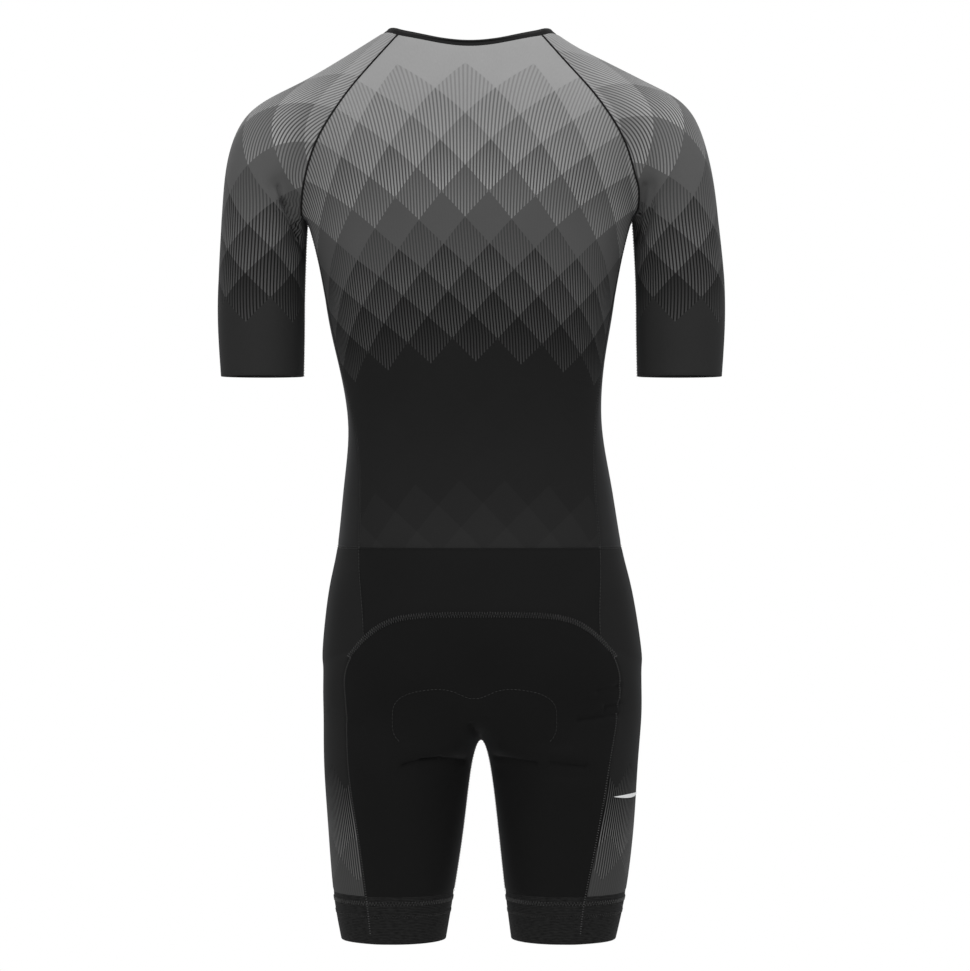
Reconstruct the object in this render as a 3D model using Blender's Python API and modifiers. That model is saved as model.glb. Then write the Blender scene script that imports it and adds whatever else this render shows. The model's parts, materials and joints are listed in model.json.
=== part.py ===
"""One-piece triathlon suit with short raglan sleeves, worn form with no wearer.

Metres, +Z up. The suit faces -Y and the wearer's left is at +X. The origin is at the
base of the neck, between the shoulders.

The whole suit is one coarse cage of quads. Its rows run round the body, the sleeves and
the legs, and its columns run down them, so every seam follows a row or a column. The
cage is solved so that the smooth surface passes through the sections in the tables.
Each cloth piece is then cut out of that surface along its seams and given a wall.
"""

from collections import namedtuple
from math import acos, asin, cos, radians, sin

import bmesh
import bpy
import numpy as np
from mathutils import Matrix, Vector
from mathutils.bvhtree import BVHTree

SUIT = "triathlon_suit"

# ---------------------------------------------------------------- driving dimensions
CLOTH = 0.0012  # wall of the knitted panels
BAND = 0.0016  # wall of the neck binding and the leg grippers
SEAM_GAP = 0.0003  # between neighbouring pieces
ZIP_OPENING = 0.0146  # between the two front panels' edges
ZIP_MIDDLE = 0.0006  # between the two tapes
LEVEL = 1  # subdivision of the cage

SLIDER_DOWN = 0.012  # the slider's middle, below the top of the zip
SLIDER_WIDTH, SLIDER_LENGTH, SLIDER_PLATE = 0.0082, 0.0105, 0.0022
SLIDER_CLEAR = 0.0006  # between the slider and the tapes
BAIL_WIDTH, BAIL_LENGTH, BAIL_HEIGHT = 0.0022, 0.0042, 0.0030
BAIL_EYE = 0.0020  # opening under the bail
PULL_WIDTH, PULL_LENGTH, PULL_THICKNESS = 0.0062, 0.0240, 0.0012
PULL_BAR = 0.0011  # the bar of the pull that passes under the bail
PULL_WINDOW_WIDTH, PULL_WINDOW_LENGTH = 0.0034, 0.0040

TAB_HEIGHT, TAB_THICKNESS = 0.0040, 0.0006
TAB_Z = -0.7925
TAB_FROM, TAB_TO = 47.0, -16.0  # degrees round the right thigh, 0 at its outer side

# Columns of the cage, counted from the centre back towards the wearer's left.
SEAM_BACK, SIDE, SEAM_FRONT, CENTRE_FRONT = 4, 6, 8, 12
CAP = 10  # columns of a sleeve between its two raglan seams
UNDERARM = 4  # columns of a sleeve under the arm
CROTCH = 4  # columns of a leg on its inner side

# Rows above the armpits, in millimetres. "back" and "front" are on the centre lines,
# "rear" and "fore" on the raglan seams and "top" on the ridge of the shoulder. "arc" is
# half the angle of the sleeve's section between the two raglan seams, in degrees.
Yoke = namedtuple(
    "Yoke",
    "back_y back_z rear_x rear_y rear_z top_x top_y top_z"
    " fore_x fore_y fore_z front_y front_z arc",
)
YOKES = (
    Yoke(60, -6, 80, 36, 7, 84, -2, 11, 70, -50, -12, -74, -58, 50),
    Yoke(65, -15, 81, 41, -2, 97, -2, 4, 75, -56, -20, -79, -66, 55),
    Yoke(84, -50, 108, 60, -40, 144, -2, -26, 102, -74, -52, -93, -92, 75),
    Yoke(96, -88, 137, 70, -74, 191, 0, -51, 130, -82, -86, -103, -118, 90),
    Yoke(104, -126, 159, 70, -111, 233, 2, -78, 151, -78, -122, -110, -144, 104),
    Yoke(109, -163, 172, 53, -151, 254, 3, -126, 166, -58, -155, -114, -170, 122),
    Yoke(111, -197, 174, 34, -187, 260, 3, -183, 172, -34, -187, -116, -196, 142),
)
YOKE_ARC = 66.0  # degrees of the back's and the front's own section
UNDERARM_X, UNDERARM_Z = 166, -178

# Rows of the body below the armpits, in millimetres. z is given at the centre back, the
# back seam, the side and the front. "seam_back" and "seam_front" say how far out from
# the centre the seams lie, as a share of the half width.
Section = namedtuple(
    "Section",
    "z_back z_seam z_side z_front centre half_width back front"
    " square seam_back seam_front tuck",
)
SECTIONS = (
    Section(-264, -263, -262, -262, 0, 153, 110, 116, 2.3, 0.990, 0.975, 0),
    Section(-331, -331, -331, -331, -1, 141, 101, 108, 2.3, 0.980, 0.950, 0),
    Section(-399, -399, -399, -399, -5, 133, 90, 101, 2.25, 0.945, 0.930, 0),
    Section(-465, -465, -465, -465, -8, 140, 93, 102, 2.25, 0.867, 0.910, 0),
    Section(-531, -531, -531, -531, -10, 149, 106, 106, 2.25, 0.834, 0.890, 0),
    Section(-572, -575, -577, -572, -11, 159, 114, 108, 2.3, 0.795, 0.880, 0),
    Section(-599, -624, -636, -612, -12.5, 167, 119, 108, 2.3, 0.740, 0.870, 0),
    Section(-637, -642, -657, -640, -13, 167, 123, 107, 2.3, 0.830, 0.860, 2),
    Section(-672, -670, -683, -672, -13, 167, 123, 104, 2.3, 0.866, 0.855, 6),
    Section(-708, -702, -714, -704, -13, 166.5, 116, 98, 2.3, 0.856, 0.850, 12),
)
WAIST_SEAM, SEAT_SEAM = 4, 6  # rows of SECTIONS
TUCK_WIDTH = 34.0

# The seam of the crotch between the centre back and the centre front, from the front.
CROTCH_POINTS = ((-42, -725), (8, -733), (60, -726))
CROTCH_X = -11.6

# Rows of a sleeve below the armpit and of a leg below the crotch, in millimetres.
Cuff = namedtuple("Cuff", "z out half_width y half_depth")
SLEEVE = (
    Cuff(-246, 219, 46, 0, 54),
    Cuff(-299, 220, 46, -2, 52),
    Cuff(-352, 219, 44, -4, 49),
)
UNDERARM_ARC = 142.0

Hem = namedtuple("Hem", "z middle out half_width y half_depth seam_left seam_right")
LEG = (
    Hem(-761, -11.5, 87, 77, 8, 96, 0.655, 0.585),
    Hem(-824, -11.5, 89, 71, 6, 85, 0.563, 0.475),
    Hem(-896, -10.0, 90, 62.5, 4, 75, 0.454, 0.327),
    Hem(-940.5, -9.0, 89, 55, 3, 67, 0.430, 0.320),
)
GRIPPER = 2  # the row of LEG at the gripper's top edge
LEG_CENTRE_ARC, LEG_FRONT_ARC = 140.0, -56.0

# The largest folds, as troughs between two places of the back or the front, in
# millimetres. "width" is half a trough's own width.
Fold = namedtuple("Fold", "facing x1 z1 x2 z2 depth width")
FOLDS = (
    Fold(1, 199, -158, 180, -214, 4.0, 10),
    Fold(1, -184, -158, -177, -206, 4.0, 9),
    Fold(-1, 196, -154, 178, -212, 3.5, 10),
    Fold(-1, -196, -150, -178, -208, 3.5, 10),
    Fold(1, 68, -760, 8, -757, 3.0, 10),
    Fold(1, -29, -757, -118, -763, 2.5, 10),
    Fold(-1, 20, -738, 84, -700, 3.0, 11),
    Fold(-1, -40, -736, -112, -706, 2.5, 11),
)

COLOURS = {
    "back_panel": ("#4A4B4D", 0.72),
    "front": ("#2A2B2D", 0.72),
    "side_panel": ("#27272A", 0.70),
    "sleeve": ("#3A3B3D", 0.72),
    "neck_binding": ("#1D1D20", 0.75),
    "seat_yoke": ("#1D1D1F", 0.74),
    "seat_panel": ("#19191B", 0.74),
    "thigh_side": ("#272729", 0.72),
    "gripper": ("#202022", 0.80),
    "zip_tape": ("#161618", 0.80),
    "zip_slider": ("#2E2E31", 0.35),
    "zip_pull": ("#2E2E31", 0.40),
    "reflective_tab": ("#C9CBCE", 0.35),
}
METAL = ("zip_slider", "zip_pull")


# ---------------------------------------------------------------- materials
def linear(channel):
    """One sRGB channel as the linear value that a shader takes."""
    return channel / 12.92 if channel <= 0.04045 else ((channel + 0.055) / 1.055) ** 2.4


def material_of(node):
    """The node's own Principled material."""
    key = next(name for name in COLOURS if node.startswith(name))
    code, roughness = COLOURS[key]
    rgb = [linear(int(code[i : i + 2], 16) / 255) for i in (1, 3, 5)]
    material = bpy.data.materials.new(node)
    material.use_nodes = True
    shader = material.node_tree.nodes["Principled BSDF"]
    shader.inputs["Base Color"].default_value = (*rgb, 1)
    shader.inputs["Roughness"].default_value = roughness
    shader.inputs["Metallic"].default_value = 1.0 if key in METAL else 0.0
    return material


# ---------------------------------------------------------------- sections
def arc_row(middle, seam, columns):
    """Points from a centre line out to a seam, on an arc that bulges at the centre."""
    span = radians(YOKE_ARC)
    row = []
    for k in range(columns + 1):
        angle = span * k / columns
        share = (cos(angle) - cos(span)) / (1 - cos(span))
        across = sin(angle) / sin(span)
        row.append(
            (
                middle[0] + (seam[0] - middle[0]) * across,
                seam[1] + (middle[1] - seam[1]) * share,
                seam[2] + (middle[2] - seam[2]) * share,
            )
        )
    return row


def cap_row(yoke):
    """The sleeve's points from the rear raglan seam over the shoulder to the fore one."""
    rear = np.array([yoke.rear_x, yoke.rear_y, yoke.rear_z], float)
    fore = np.array([yoke.fore_x, yoke.fore_y, yoke.fore_z], float)
    top = np.array([yoke.top_x, yoke.top_y, yoke.top_z], float)
    reach = radians(yoke.arc)
    centre = ((rear + fore) / 2 - top * cos(reach)) / (1 - cos(reach))
    half = (rear - fore) / 2 / sin(reach)
    angles = reach * np.linspace(1, -1, CAP + 1)
    return [centre + (top - centre) * cos(a) + half * sin(a) for a in angles]


def on_section(section, column, side):
    """A point of a body section. Columns run from 0 at the centre back to 12."""
    turn_back = asin(section.seam_back ** (section.square / 2))
    turn_front = asin(section.seam_front ** (section.square / 2))
    stops = (0, SEAM_BACK, SIDE, SEAM_FRONT, CENTRE_FRONT)
    angles = (0, turn_back, np.pi / 2, np.pi - turn_front, np.pi)
    angle = np.interp(column, stops, angles)
    heights = (section.z_seam, section.z_side, section.z_front, section.z_front)
    z = np.interp(column, stops[1:], heights)
    if column < SEAM_BACK:
        rise = 1 - (column / SEAM_BACK) ** 4
        z = section.z_seam + (section.z_back - section.z_seam) * rise
    depth = section.back if column <= SIDE else section.front
    across = section.half_width * abs(sin(angle)) ** (2 / section.square)
    along = depth * abs(cos(angle)) ** (2 / section.square)
    along -= section.tuck * np.exp(-((across / TUCK_WIDTH) ** 2))
    return (section.centre + side * across, along if column <= SIDE else -along, z)


def on_ring(centre, half_width, half_depth, z, angle, side):
    """A point of an oval ring. 0 degrees is its outer side and 90 is its back."""
    turn = radians(angle)
    return (
        centre[0] + side * half_width * cos(turn),
        centre[1] + half_depth * sin(turn),
        z,
    )


def leg_angles(seam):
    """Angles of a leg's columns: back, outer side, front, then the inner side."""
    turn = np.degrees(acos(seam))
    stops = (0, SEAM_BACK, SIDE, SEAM_FRONT, CENTRE_FRONT, CENTRE_FRONT + CROTCH)
    angles = (LEG_CENTRE_ARC, turn, 0, LEG_FRONT_ARC, -LEG_CENTRE_ARC, LEG_CENTRE_ARC - 360)
    return [np.interp(k, stops, angles) for k in range(CENTRE_FRONT + CROTCH)]


# ---------------------------------------------------------------- the cage
class Cage:
    """Points, by a name each, and four-sided faces, each with its piece and its place.

    A face's place holds the column and the row of its corners.
    """

    def __init__(self):
        self.index = {}
        self.points = []
        self.faces = []
        self.pieces = []
        self.places = []

    def point(self, name, xyz):
        """Adds a point in millimetres, unless its name is there already."""
        if name not in self.index:
            self.index[name] = len(self.points)
            self.points.append([value / 1000 for value in xyz])

    def strip(self, upper, lower, row, first, side, piece_at):
        """A row of faces between two rows of names. A right side is wound the other way."""
        for k in range(len(upper) - 1):
            corners = [upper[k], upper[k + 1], lower[k + 1], lower[k]]
            column = first + k
            place = [(column, row), (column + 1, row), (column + 1, row + 1), (column, row + 1)]
            if side < 0:
                corners.reverse()
                place.reverse()
            self.faces.append([self.index[name] for name in corners])
            self.places.append(place)
            self.pieces.append(piece_at(column))


def body(row, column, side):
    """The name of a body point. The two centre lines belong to both sides."""
    return ("body", row, column, 0 if column in (0, CENTRE_FRONT) else side)


def cap(row, k, side):
    """The name of a sleeve point, whose edges are the body's raglan seams."""
    armpit = len(YOKES) - 1
    if row <= armpit and k == 0:
        return body(row, SEAM_BACK, side)
    if row <= armpit and k == CAP:
        return body(row, SEAM_FRONT, side)
    if row == armpit and k > CAP:
        return body(row, SEAM_FRONT - (k - CAP), side)
    return ("sleeve", row, k, side)


def leg(row, k, side):
    """The name of a leg point, whose first row is the body's last one and the crotch."""
    if row == 0 and k <= CENTRE_FRONT:
        return body(len(YOKES) + len(SECTIONS) - 1, k, side)
    if row == 0:
        return ("crotch", k)
    return ("leg", row, k, side)


def word(side):
    return "left" if side > 0 else "right"


def upper_body(cage, side):
    """Yoke rows: the back, the front and the cap of the sleeve on one side."""
    for row, yoke in enumerate(YOKES):
        rear = (side * yoke.rear_x, yoke.rear_y, yoke.rear_z)
        fore = (side * yoke.fore_x, yoke.fore_y, yoke.fore_z)
        back = arc_row((0, yoke.back_y, yoke.back_z), rear, SEAM_BACK)
        front = arc_row((0, yoke.front_y, yoke.front_z), fore, CENTRE_FRONT - SEAM_FRONT)
        for k, xyz in enumerate(back):
            cage.point(body(row, k, side), xyz)
        for k, xyz in enumerate(front):
            cage.point(body(row, CENTRE_FRONT - k, side), xyz)
        for k, (x, y, z) in enumerate(cap_row(yoke)):
            cage.point(cap(row, k, side), (side * x, y, z))
    armpit = len(YOKES) - 1
    rear, fore = YOKES[-1].rear_y, YOKES[-1].fore_y
    for k in range(1, UNDERARM):
        share = k / UNDERARM
        lift = sin(share * np.pi)
        x = YOKES[-1].rear_x + (UNDERARM_X - YOKES[-1].rear_x) * lift
        z = YOKES[-1].rear_z + (UNDERARM_Z - YOKES[-1].rear_z) * lift
        y = rear + (fore - rear) * share
        cage.point(body(armpit, SEAM_BACK + k, side), (side * x, y, z))
    for row in range(armpit):
        binding = row == 0
        for first, last, piece in (
            (0, SEAM_BACK, "back_panel"),
            (SEAM_FRONT, CENTRE_FRONT, f"front_{word(side)}"),
        ):
            upper = [body(row, k, side) for k in range(first, last + 1)]
            lower = [body(row + 1, k, side) for k in range(first, last + 1)]
            name = "neck_binding" if binding else piece
            cage.strip(upper, lower, row, first, side, lambda column: name)
        upper = [cap(row, k, side) for k in range(CAP + 1)]
        lower = [cap(row + 1, k, side) for k in range(CAP + 1)]
        name = "neck_binding" if binding else f"sleeve_{word(side)}"
        cage.strip(upper, lower, row, SEAM_BACK + 100, side, lambda column: name)


def sleeve(cage, side):
    """The sleeve's tube below the armpit."""
    armpit = len(YOKES) - 1
    ring = CAP + UNDERARM
    gap = 360 - 2 * UNDERARM_ARC
    angles = [UNDERARM_ARC * (1 - 2 * k / CAP) for k in range(CAP + 1)]
    angles += [-UNDERARM_ARC - gap * k / UNDERARM for k in range(1, UNDERARM)]
    for row, cuff in enumerate(SLEEVE, start=1):
        for k, angle in enumerate(angles):
            centre = (side * cuff.out, cuff.y)
            xyz = on_ring(centre, cuff.half_width, cuff.half_depth, cuff.z, angle, side)
            cage.point(cap(armpit + row, k, side), xyz)
    for row in range(armpit, armpit + len(SLEEVE)):
        upper = [cap(row, k % ring, side) for k in range(ring + 1)]
        lower = [cap(row + 1, k % ring, side) for k in range(ring + 1)]
        first = SEAM_BACK + 100
        cage.strip(upper, lower, row, first, side, lambda column: f"sleeve_{word(side)}")


def lower_body(cage, side):
    """Body rows from the armpit down to the crotch."""
    armpit = len(YOKES) - 1
    for row, section in enumerate(SECTIONS, start=armpit + 1):
        for k in range(CENTRE_FRONT + 1):
            cage.point(body(row, k, side), on_section(section, k, side))

    def piece_at(column, row):
        above_waist = row - armpit <= WAIST_SEAM
        if column < SEAM_BACK:
            if above_waist:
                return "back_panel"
            return "seat_yoke" if row - armpit <= SEAT_SEAM else "seat_panel"
        if column < SEAM_FRONT:
            return f"side_panel_{word(side)}" if above_waist else f"thigh_side_{word(side)}"
        return f"front_{word(side)}" if above_waist else "front_lower"

    for row in range(armpit, armpit + len(SECTIONS)):
        upper = [body(row, k, side) for k in range(CENTRE_FRONT + 1)]
        lower = [body(row + 1, k, side) for k in range(CENTRE_FRONT + 1)]
        cage.strip(upper, lower, row, 0, side, lambda column: piece_at(column, row))


def legs(cage, side):
    """One leg, from the crotch to the hem."""
    ring = CENTRE_FRONT + CROTCH
    top = len(YOKES) + len(SECTIONS) - 1
    for k, (y, z) in enumerate(CROTCH_POINTS, start=1):
        cage.point(("crotch", CENTRE_FRONT + k), (CROTCH_X, y, z))
    for row, hem in enumerate(LEG, start=1):
        seam = hem.seam_left if side > 0 else hem.seam_right
        centre = (hem.middle + side * hem.out, hem.y)
        for k, angle in enumerate(leg_angles(seam)):
            xyz = on_ring(centre, hem.half_width, hem.half_depth, hem.z, angle, side)
            cage.point(leg(row, k, side), xyz)
    inseam = CENTRE_FRONT + CROTCH // 2

    def piece_at(column, row):
        if row == GRIPPER + 1:
            return f"gripper_{word(side)}"
        if SEAM_BACK <= column < SEAM_FRONT:
            return f"thigh_side_{word(side)}"
        return "front_lower" if SEAM_FRONT <= column < inseam else "seat_panel"

    for row in range(len(LEG)):
        upper = [leg(row, k % ring, side) for k in range(ring + 1)]
        lower = [leg(row + 1, k % ring, side) for k in range(ring + 1)]
        cage.strip(upper, lower, top + row, 0, side, lambda column: piece_at(column, row))


def solved(points, faces):
    """Cage points whose smooth surface passes through the given points.

    Catmull-Clark puts a point with n edges at (n*n*v + 4*edges + diagonals) / (n*(n+5)),
    and a point of an open edge at (4*v + its two neighbours) / 6.
    """
    count = len(points)
    owners = {}
    for face in faces:
        for i in range(4):
            pair = frozenset((face[i], face[i - 1]))
            owners[pair] = owners.get(pair, 0) + 1
    rim = {v for pair, used in owners.items() if used == 1 for v in pair}
    edges = [[] for _ in range(count)]
    for pair, used in owners.items():
        a, b = pair
        if used == 1 or a not in rim:
            edges[a].append(b)
        if used == 1 or b not in rim:
            edges[b].append(a)
    matrix = np.zeros((count, count))
    for v in range(count):
        n = len(edges[v])
        if v in rim:
            matrix[v, v] = 4 / 6
            matrix[v, edges[v]] = 1 / 6
        else:
            matrix[v, v] = n / (n + 5)
            matrix[v, edges[v]] = 4 / (n * (n + 5))
    for face in faces:
        for i in range(4):
            v = face[i]
            if v not in rim:
                n = len(edges[v])
                matrix[v, face[i - 2]] += 1 / (n * (n + 5))
    return np.linalg.solve(matrix, points)


def suit_surface():
    """The smooth surface: points, normals, faces, each face's piece and its place."""
    cage = Cage()
    for side in (1, -1):
        upper_body(cage, side)
        sleeve(cage, side)
        lower_body(cage, side)
        legs(cage, side)
    names = sorted(set(cage.pieces))
    mesh = bpy.data.meshes.new("cage")
    mesh.from_pydata(solved(np.array(cage.points), cage.faces).tolist(), [], cage.faces)
    mesh.polygons.foreach_set("material_index", [names.index(p) for p in cage.pieces])
    place = mesh.uv_layers.new(name="place")
    place.data.foreach_set("uv", np.array(cage.places, float).ravel())
    obj = bpy.data.objects.new("cage", mesh)
    bpy.context.scene.collection.objects.link(obj)
    smooth = obj.modifiers.new("smooth", "SUBSURF")
    smooth.levels = LEVEL
    smooth.render_levels = LEVEL
    smooth.uv_smooth = "NONE"
    graph = bpy.context.evaluated_depsgraph_get()
    fine = bpy.data.meshes.new_from_object(obj.evaluated_get(graph))
    points = np.empty(len(fine.vertices) * 3)
    normals = np.empty(len(fine.vertices) * 3)
    faces = np.empty(len(fine.loops), int)
    piece = np.empty(len(fine.polygons), int)
    places = np.empty(len(fine.loops) * 2)
    fine.vertices.foreach_get("co", points)
    fine.vertices.foreach_get("normal", normals)
    fine.loops.foreach_get("vertex_index", faces)
    fine.polygons.foreach_get("material_index", piece)
    fine.uv_layers["place"].data.foreach_get("uv", places)
    bpy.data.objects.remove(obj)
    bpy.data.meshes.remove(mesh)
    bpy.data.meshes.remove(fine)
    normals = normals.reshape(-1, 3)
    return (
        folded(points.reshape(-1, 3), normals),
        normals,
        faces.reshape(-1, 4),
        np.array(names)[piece],
        places.reshape(-1, 4, 2),
    )


def folded(points, normals):
    """The points, pushed in along the folds."""
    depth = np.zeros(len(points))
    flat = points[:, [0, 2]] * 1000
    for fold in FOLDS:
        start = np.array([fold.x1, fold.z1])
        way = np.array([fold.x2, fold.z2]) - start
        share = np.clip((flat - start) @ way / (way @ way), 0, 1)
        away = np.linalg.norm(flat - start - share[:, None] * way, axis=1)
        faces_it = np.clip(normals[:, 1] * fold.facing * 2, 0, 1)
        depth += fold.depth * np.exp(-((away / fold.width) ** 2)) * faces_it
    return points - normals * depth[:, None] / 1000


# ---------------------------------------------------------------- cutting the pieces
def drawn_back(points, normals, faces, gap_of):
    """The points, with those of open edges moved inwards by each edge's own gap."""
    seen = {}
    for face in faces:
        for i in range(4):
            a, b = face[i], face[(i + 1) % 4]
            seen[(a, b)] = (a, b)
    moves = {}
    for a, b in seen:
        if (b, a) in seen:
            continue
        inwards = np.cross(normals[a] + normals[b], points[b] - points[a])
        inwards /= np.linalg.norm(inwards)
        for v in (a, b):
            moves.setdefault(v, []).append((inwards, gap_of(a, b)))
    out = points.copy()
    for v, pairs in moves.items():
        directions = np.array([inwards for inwards, _ in pairs])
        gaps = np.array([gap for _, gap in pairs])
        out[v] += np.linalg.pinv(directions, rcond=0.3) @ gaps
    return out, [edge for edge in seen if edge[::-1] not in seen]


def walled(name, outer, normals, faces, rim, thickness, order=None):
    """A closed wall: the outer points, the inner ones behind them and the rims between.

    A rim's two triangles part at the point that comes first in order, so that the rims
    of two neighbours are folded the same way.
    """
    count = len(outer)
    order = range(count) if order is None else order
    inner = outer - normals * thickness
    cells = [list(face) for face in faces]
    cells += [[v + count for v in reversed(face)] for face in faces]
    for a, b in rim:
        if order[a] < order[b]:
            cells += [[b, a, b + count], [a, a + count, b + count]]
        else:
            cells += [[b, a, a + count], [b, a + count, b + count]]
    mesh = bpy.data.meshes.new(name)
    mesh.from_pydata(np.vstack([outer, inner]).tolist(), [], cells)
    mesh.shade_smooth()
    mesh.set_sharp_from_angle(angle=radians(50))
    return placed(name, mesh)


def placed(name, mesh):
    """The mesh as an object of the suit, with its own material."""
    mesh.materials.clear()
    mesh.materials.append(material_of(name))
    obj = bpy.data.objects.new(name, mesh)
    bpy.data.collections[SUIT].objects.link(obj)
    return obj


def cut_pieces(surface):
    """Every cloth piece of the surface, with a gap at its seams and none at the hems."""
    points, normals, faces, piece, places = surface
    waist = len(YOKES) + WAIST_SEAM
    used = {}
    for face in faces:
        for i in range(4):
            pair = frozenset((face[i], face[i - 1]))
            used[pair] = used.get(pair, 0) + 1
    open_edges = {pair for pair, times in used.items() if times == 1}
    on_zip = np.zeros(len(points), bool)
    middle = (places[:, :, 0] == CENTRE_FRONT) & (places[:, :, 1] <= waist)
    on_zip[faces[middle]] = True
    right = points[faces].mean(axis=1)[:, 0] < 0
    count = len(points)
    for name in sorted(set(piece)):
        mine = piece == name
        corners = faces[mine]
        # Both sides of the zip get their own copy of its centre line.
        apart = name in ("neck_binding", "front_left", "front_right")
        split = on_zip[corners] & right[mine][:, None] & apart
        old, new = np.unique(corners + count * split, return_inverse=True)
        new = new.reshape(-1, 4)
        old = old % count

        def gap_of(a, b):
            pair = frozenset((old[a], old[b]))
            if apart and on_zip[old[a]] and on_zip[old[b]]:
                return ZIP_OPENING / 2
            return 0.0 if pair in open_edges else SEAM_GAP / 2

        outer, rim = drawn_back(points[old], normals[old], new.tolist(), gap_of)
        thickness = BAND if name.startswith(("neck", "gripper")) else CLOTH
        walled(name, outer, normals[old], new.tolist(), rim, thickness, old)


# ---------------------------------------------------------------- the zip
def zip_line(surface):
    """The points of the centre front from the neck to the waist seam, and their normals."""
    points, normals, faces, _, places = surface
    waist = len(YOKES) + WAIST_SEAM
    middle = (places[:, :, 0] == CENTRE_FRONT) & (places[:, :, 1] <= waist)
    rows = {}
    for vertex, row in zip(faces[middle], places[:, :, 1][middle]):
        rows[round(float(row), 3)] = vertex
    order = [rows[row] for row in sorted(rows)]
    return points[order], normals[order]


def zip_tape(line, normals, side):
    """One tape: a strip beside the centre line, level with the panels."""
    across = np.cross(normals, np.gradient(line, axis=0))
    across /= np.linalg.norm(across, axis=1)[:, None]
    across *= side * np.sign(across[:, :1])
    near = ZIP_MIDDLE / 2
    far = (ZIP_OPENING - SEAM_GAP) / 2 - SEAM_GAP / 2
    ends = line.copy()
    step = line[-2] - line[-1]
    ends[-1] += step / np.linalg.norm(step) * SEAM_GAP
    outer = np.vstack([ends + across * near, ends + across * far])
    n = len(line)
    faces = []
    for k in range(n - 1):
        quad = [k, k + n, k + n + 1, k + 1]
        faces.append(quad if side < 0 else quad[::-1])
    twice = np.vstack([normals, normals])
    _, rim = drawn_back(outer, twice, faces, lambda a, b: 0.0)
    walled(f"zip_tape_{word(side)}", outer, twice, faces, rim, CLOTH)


def frame_at(line, normals, distance):
    """A point of the line this far from its top, the way down it and the way out."""
    steps = np.linalg.norm(np.diff(line, axis=0), axis=1)
    along = np.concatenate([[0], np.cumsum(steps)])
    at = [np.interp(distance, along, line[:, k]) for k in range(3)]
    k = int(np.searchsorted(along, distance))
    down = Vector(line[k] - line[k - 1]).normalized()
    out = Vector((normals[k] + normals[k - 1]) / 2)
    out = (out - down * out.dot(down)).normalized()
    return Vector(at), down, out


def box(name, size, centre):
    """A box, in the slider's own frame: x across, y down the zip, z out of the cloth."""
    mesh = bpy.data.meshes.new(name)
    shape = bmesh.new()
    bmesh.ops.create_cube(shape, size=1)
    bmesh.ops.scale(shape, vec=size, verts=shape.verts)
    bmesh.ops.translate(shape, vec=centre, verts=shape.verts)
    shape.to_mesh(mesh)
    shape.free()
    return bpy.data.objects.new(name, mesh)


def cutter(name, size, centre):
    obj = box(name, size, centre)
    obj.hide_render = True
    obj.display_type = "WIRE"
    bpy.data.collections["cutters"].objects.link(obj)
    return obj


def apply_boolean(obj, other, operation):
    boolean = obj.modifiers.new(operation.lower(), "BOOLEAN")
    boolean.operation = operation
    boolean.object = other


def bevelled(obj, width):
    bevel = obj.modifiers.new("edges", "BEVEL")
    bevel.width = width
    bevel.segments = 2


def zip_slider_and_pull(line, normals):
    """The slider near the top of the zip, and the pull tab that swings on its bail."""
    at, down, out = frame_at(line, normals, SLIDER_DOWN)
    across = down.cross(out).normalized()
    turn = np.array([across, down, out]).T
    seat = at + out * SLIDER_CLEAR
    axis_height = SLIDER_PLATE + BAIL_EYE / 2

    def stand(obj, lift):
        obj.data.materials.append(material_of(obj.name))
        bpy.data.collections[SUIT].objects.link(obj)
        obj.matrix_world = frame_matrix(turn, seat + out * lift)
        for face in obj.data.polygons:
            face.use_smooth = False

    plate = box(
        "zip_slider",
        (SLIDER_WIDTH, SLIDER_LENGTH, SLIDER_PLATE),
        (0, 0, SLIDER_PLATE / 2),
    )
    bevelled(plate, 0.0006)
    stand(plate, 0)
    bail_middle = SLIDER_PLATE + BAIL_HEIGHT / 2 - 0.0002
    bail = cutter(
        "bail",
        (BAIL_WIDTH, BAIL_LENGTH, BAIL_HEIGHT + 0.0004),
        (0, 0, bail_middle),
    )
    bail.matrix_world = plate.matrix_world
    apply_boolean(plate, bail, "UNION")
    eye = cutter(
        "bail_eye",
        (BAIL_WIDTH * 3, BAIL_EYE, BAIL_EYE),
        (0, 0, axis_height),
    )
    eye.matrix_world = plate.matrix_world
    apply_boolean(plate, eye, "DIFFERENCE")

    top = -PULL_BAR / 2
    pull = box(
        "zip_pull",
        (PULL_WIDTH, PULL_LENGTH, PULL_THICKNESS),
        (0, top + PULL_LENGTH / 2, 0),
    )
    bevelled(pull, 0.00035)
    stand(pull, axis_height)
    window = cutter(
        "pull_window",
        (PULL_WINDOW_WIDTH, PULL_WINDOW_LENGTH, PULL_THICKNESS * 4),
        (0, PULL_BAR / 2 + PULL_WINDOW_LENGTH / 2, 0),
    )
    window.matrix_world = pull.matrix_world
    apply_boolean(pull, window, "DIFFERENCE")
    return pull


def frame_matrix(turn, at):
    """The matrix that puts a part's own axes along the columns of turn, at this place."""
    return Matrix.Translation(at) @ Matrix(turn.tolist()).to_4x4()


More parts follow.
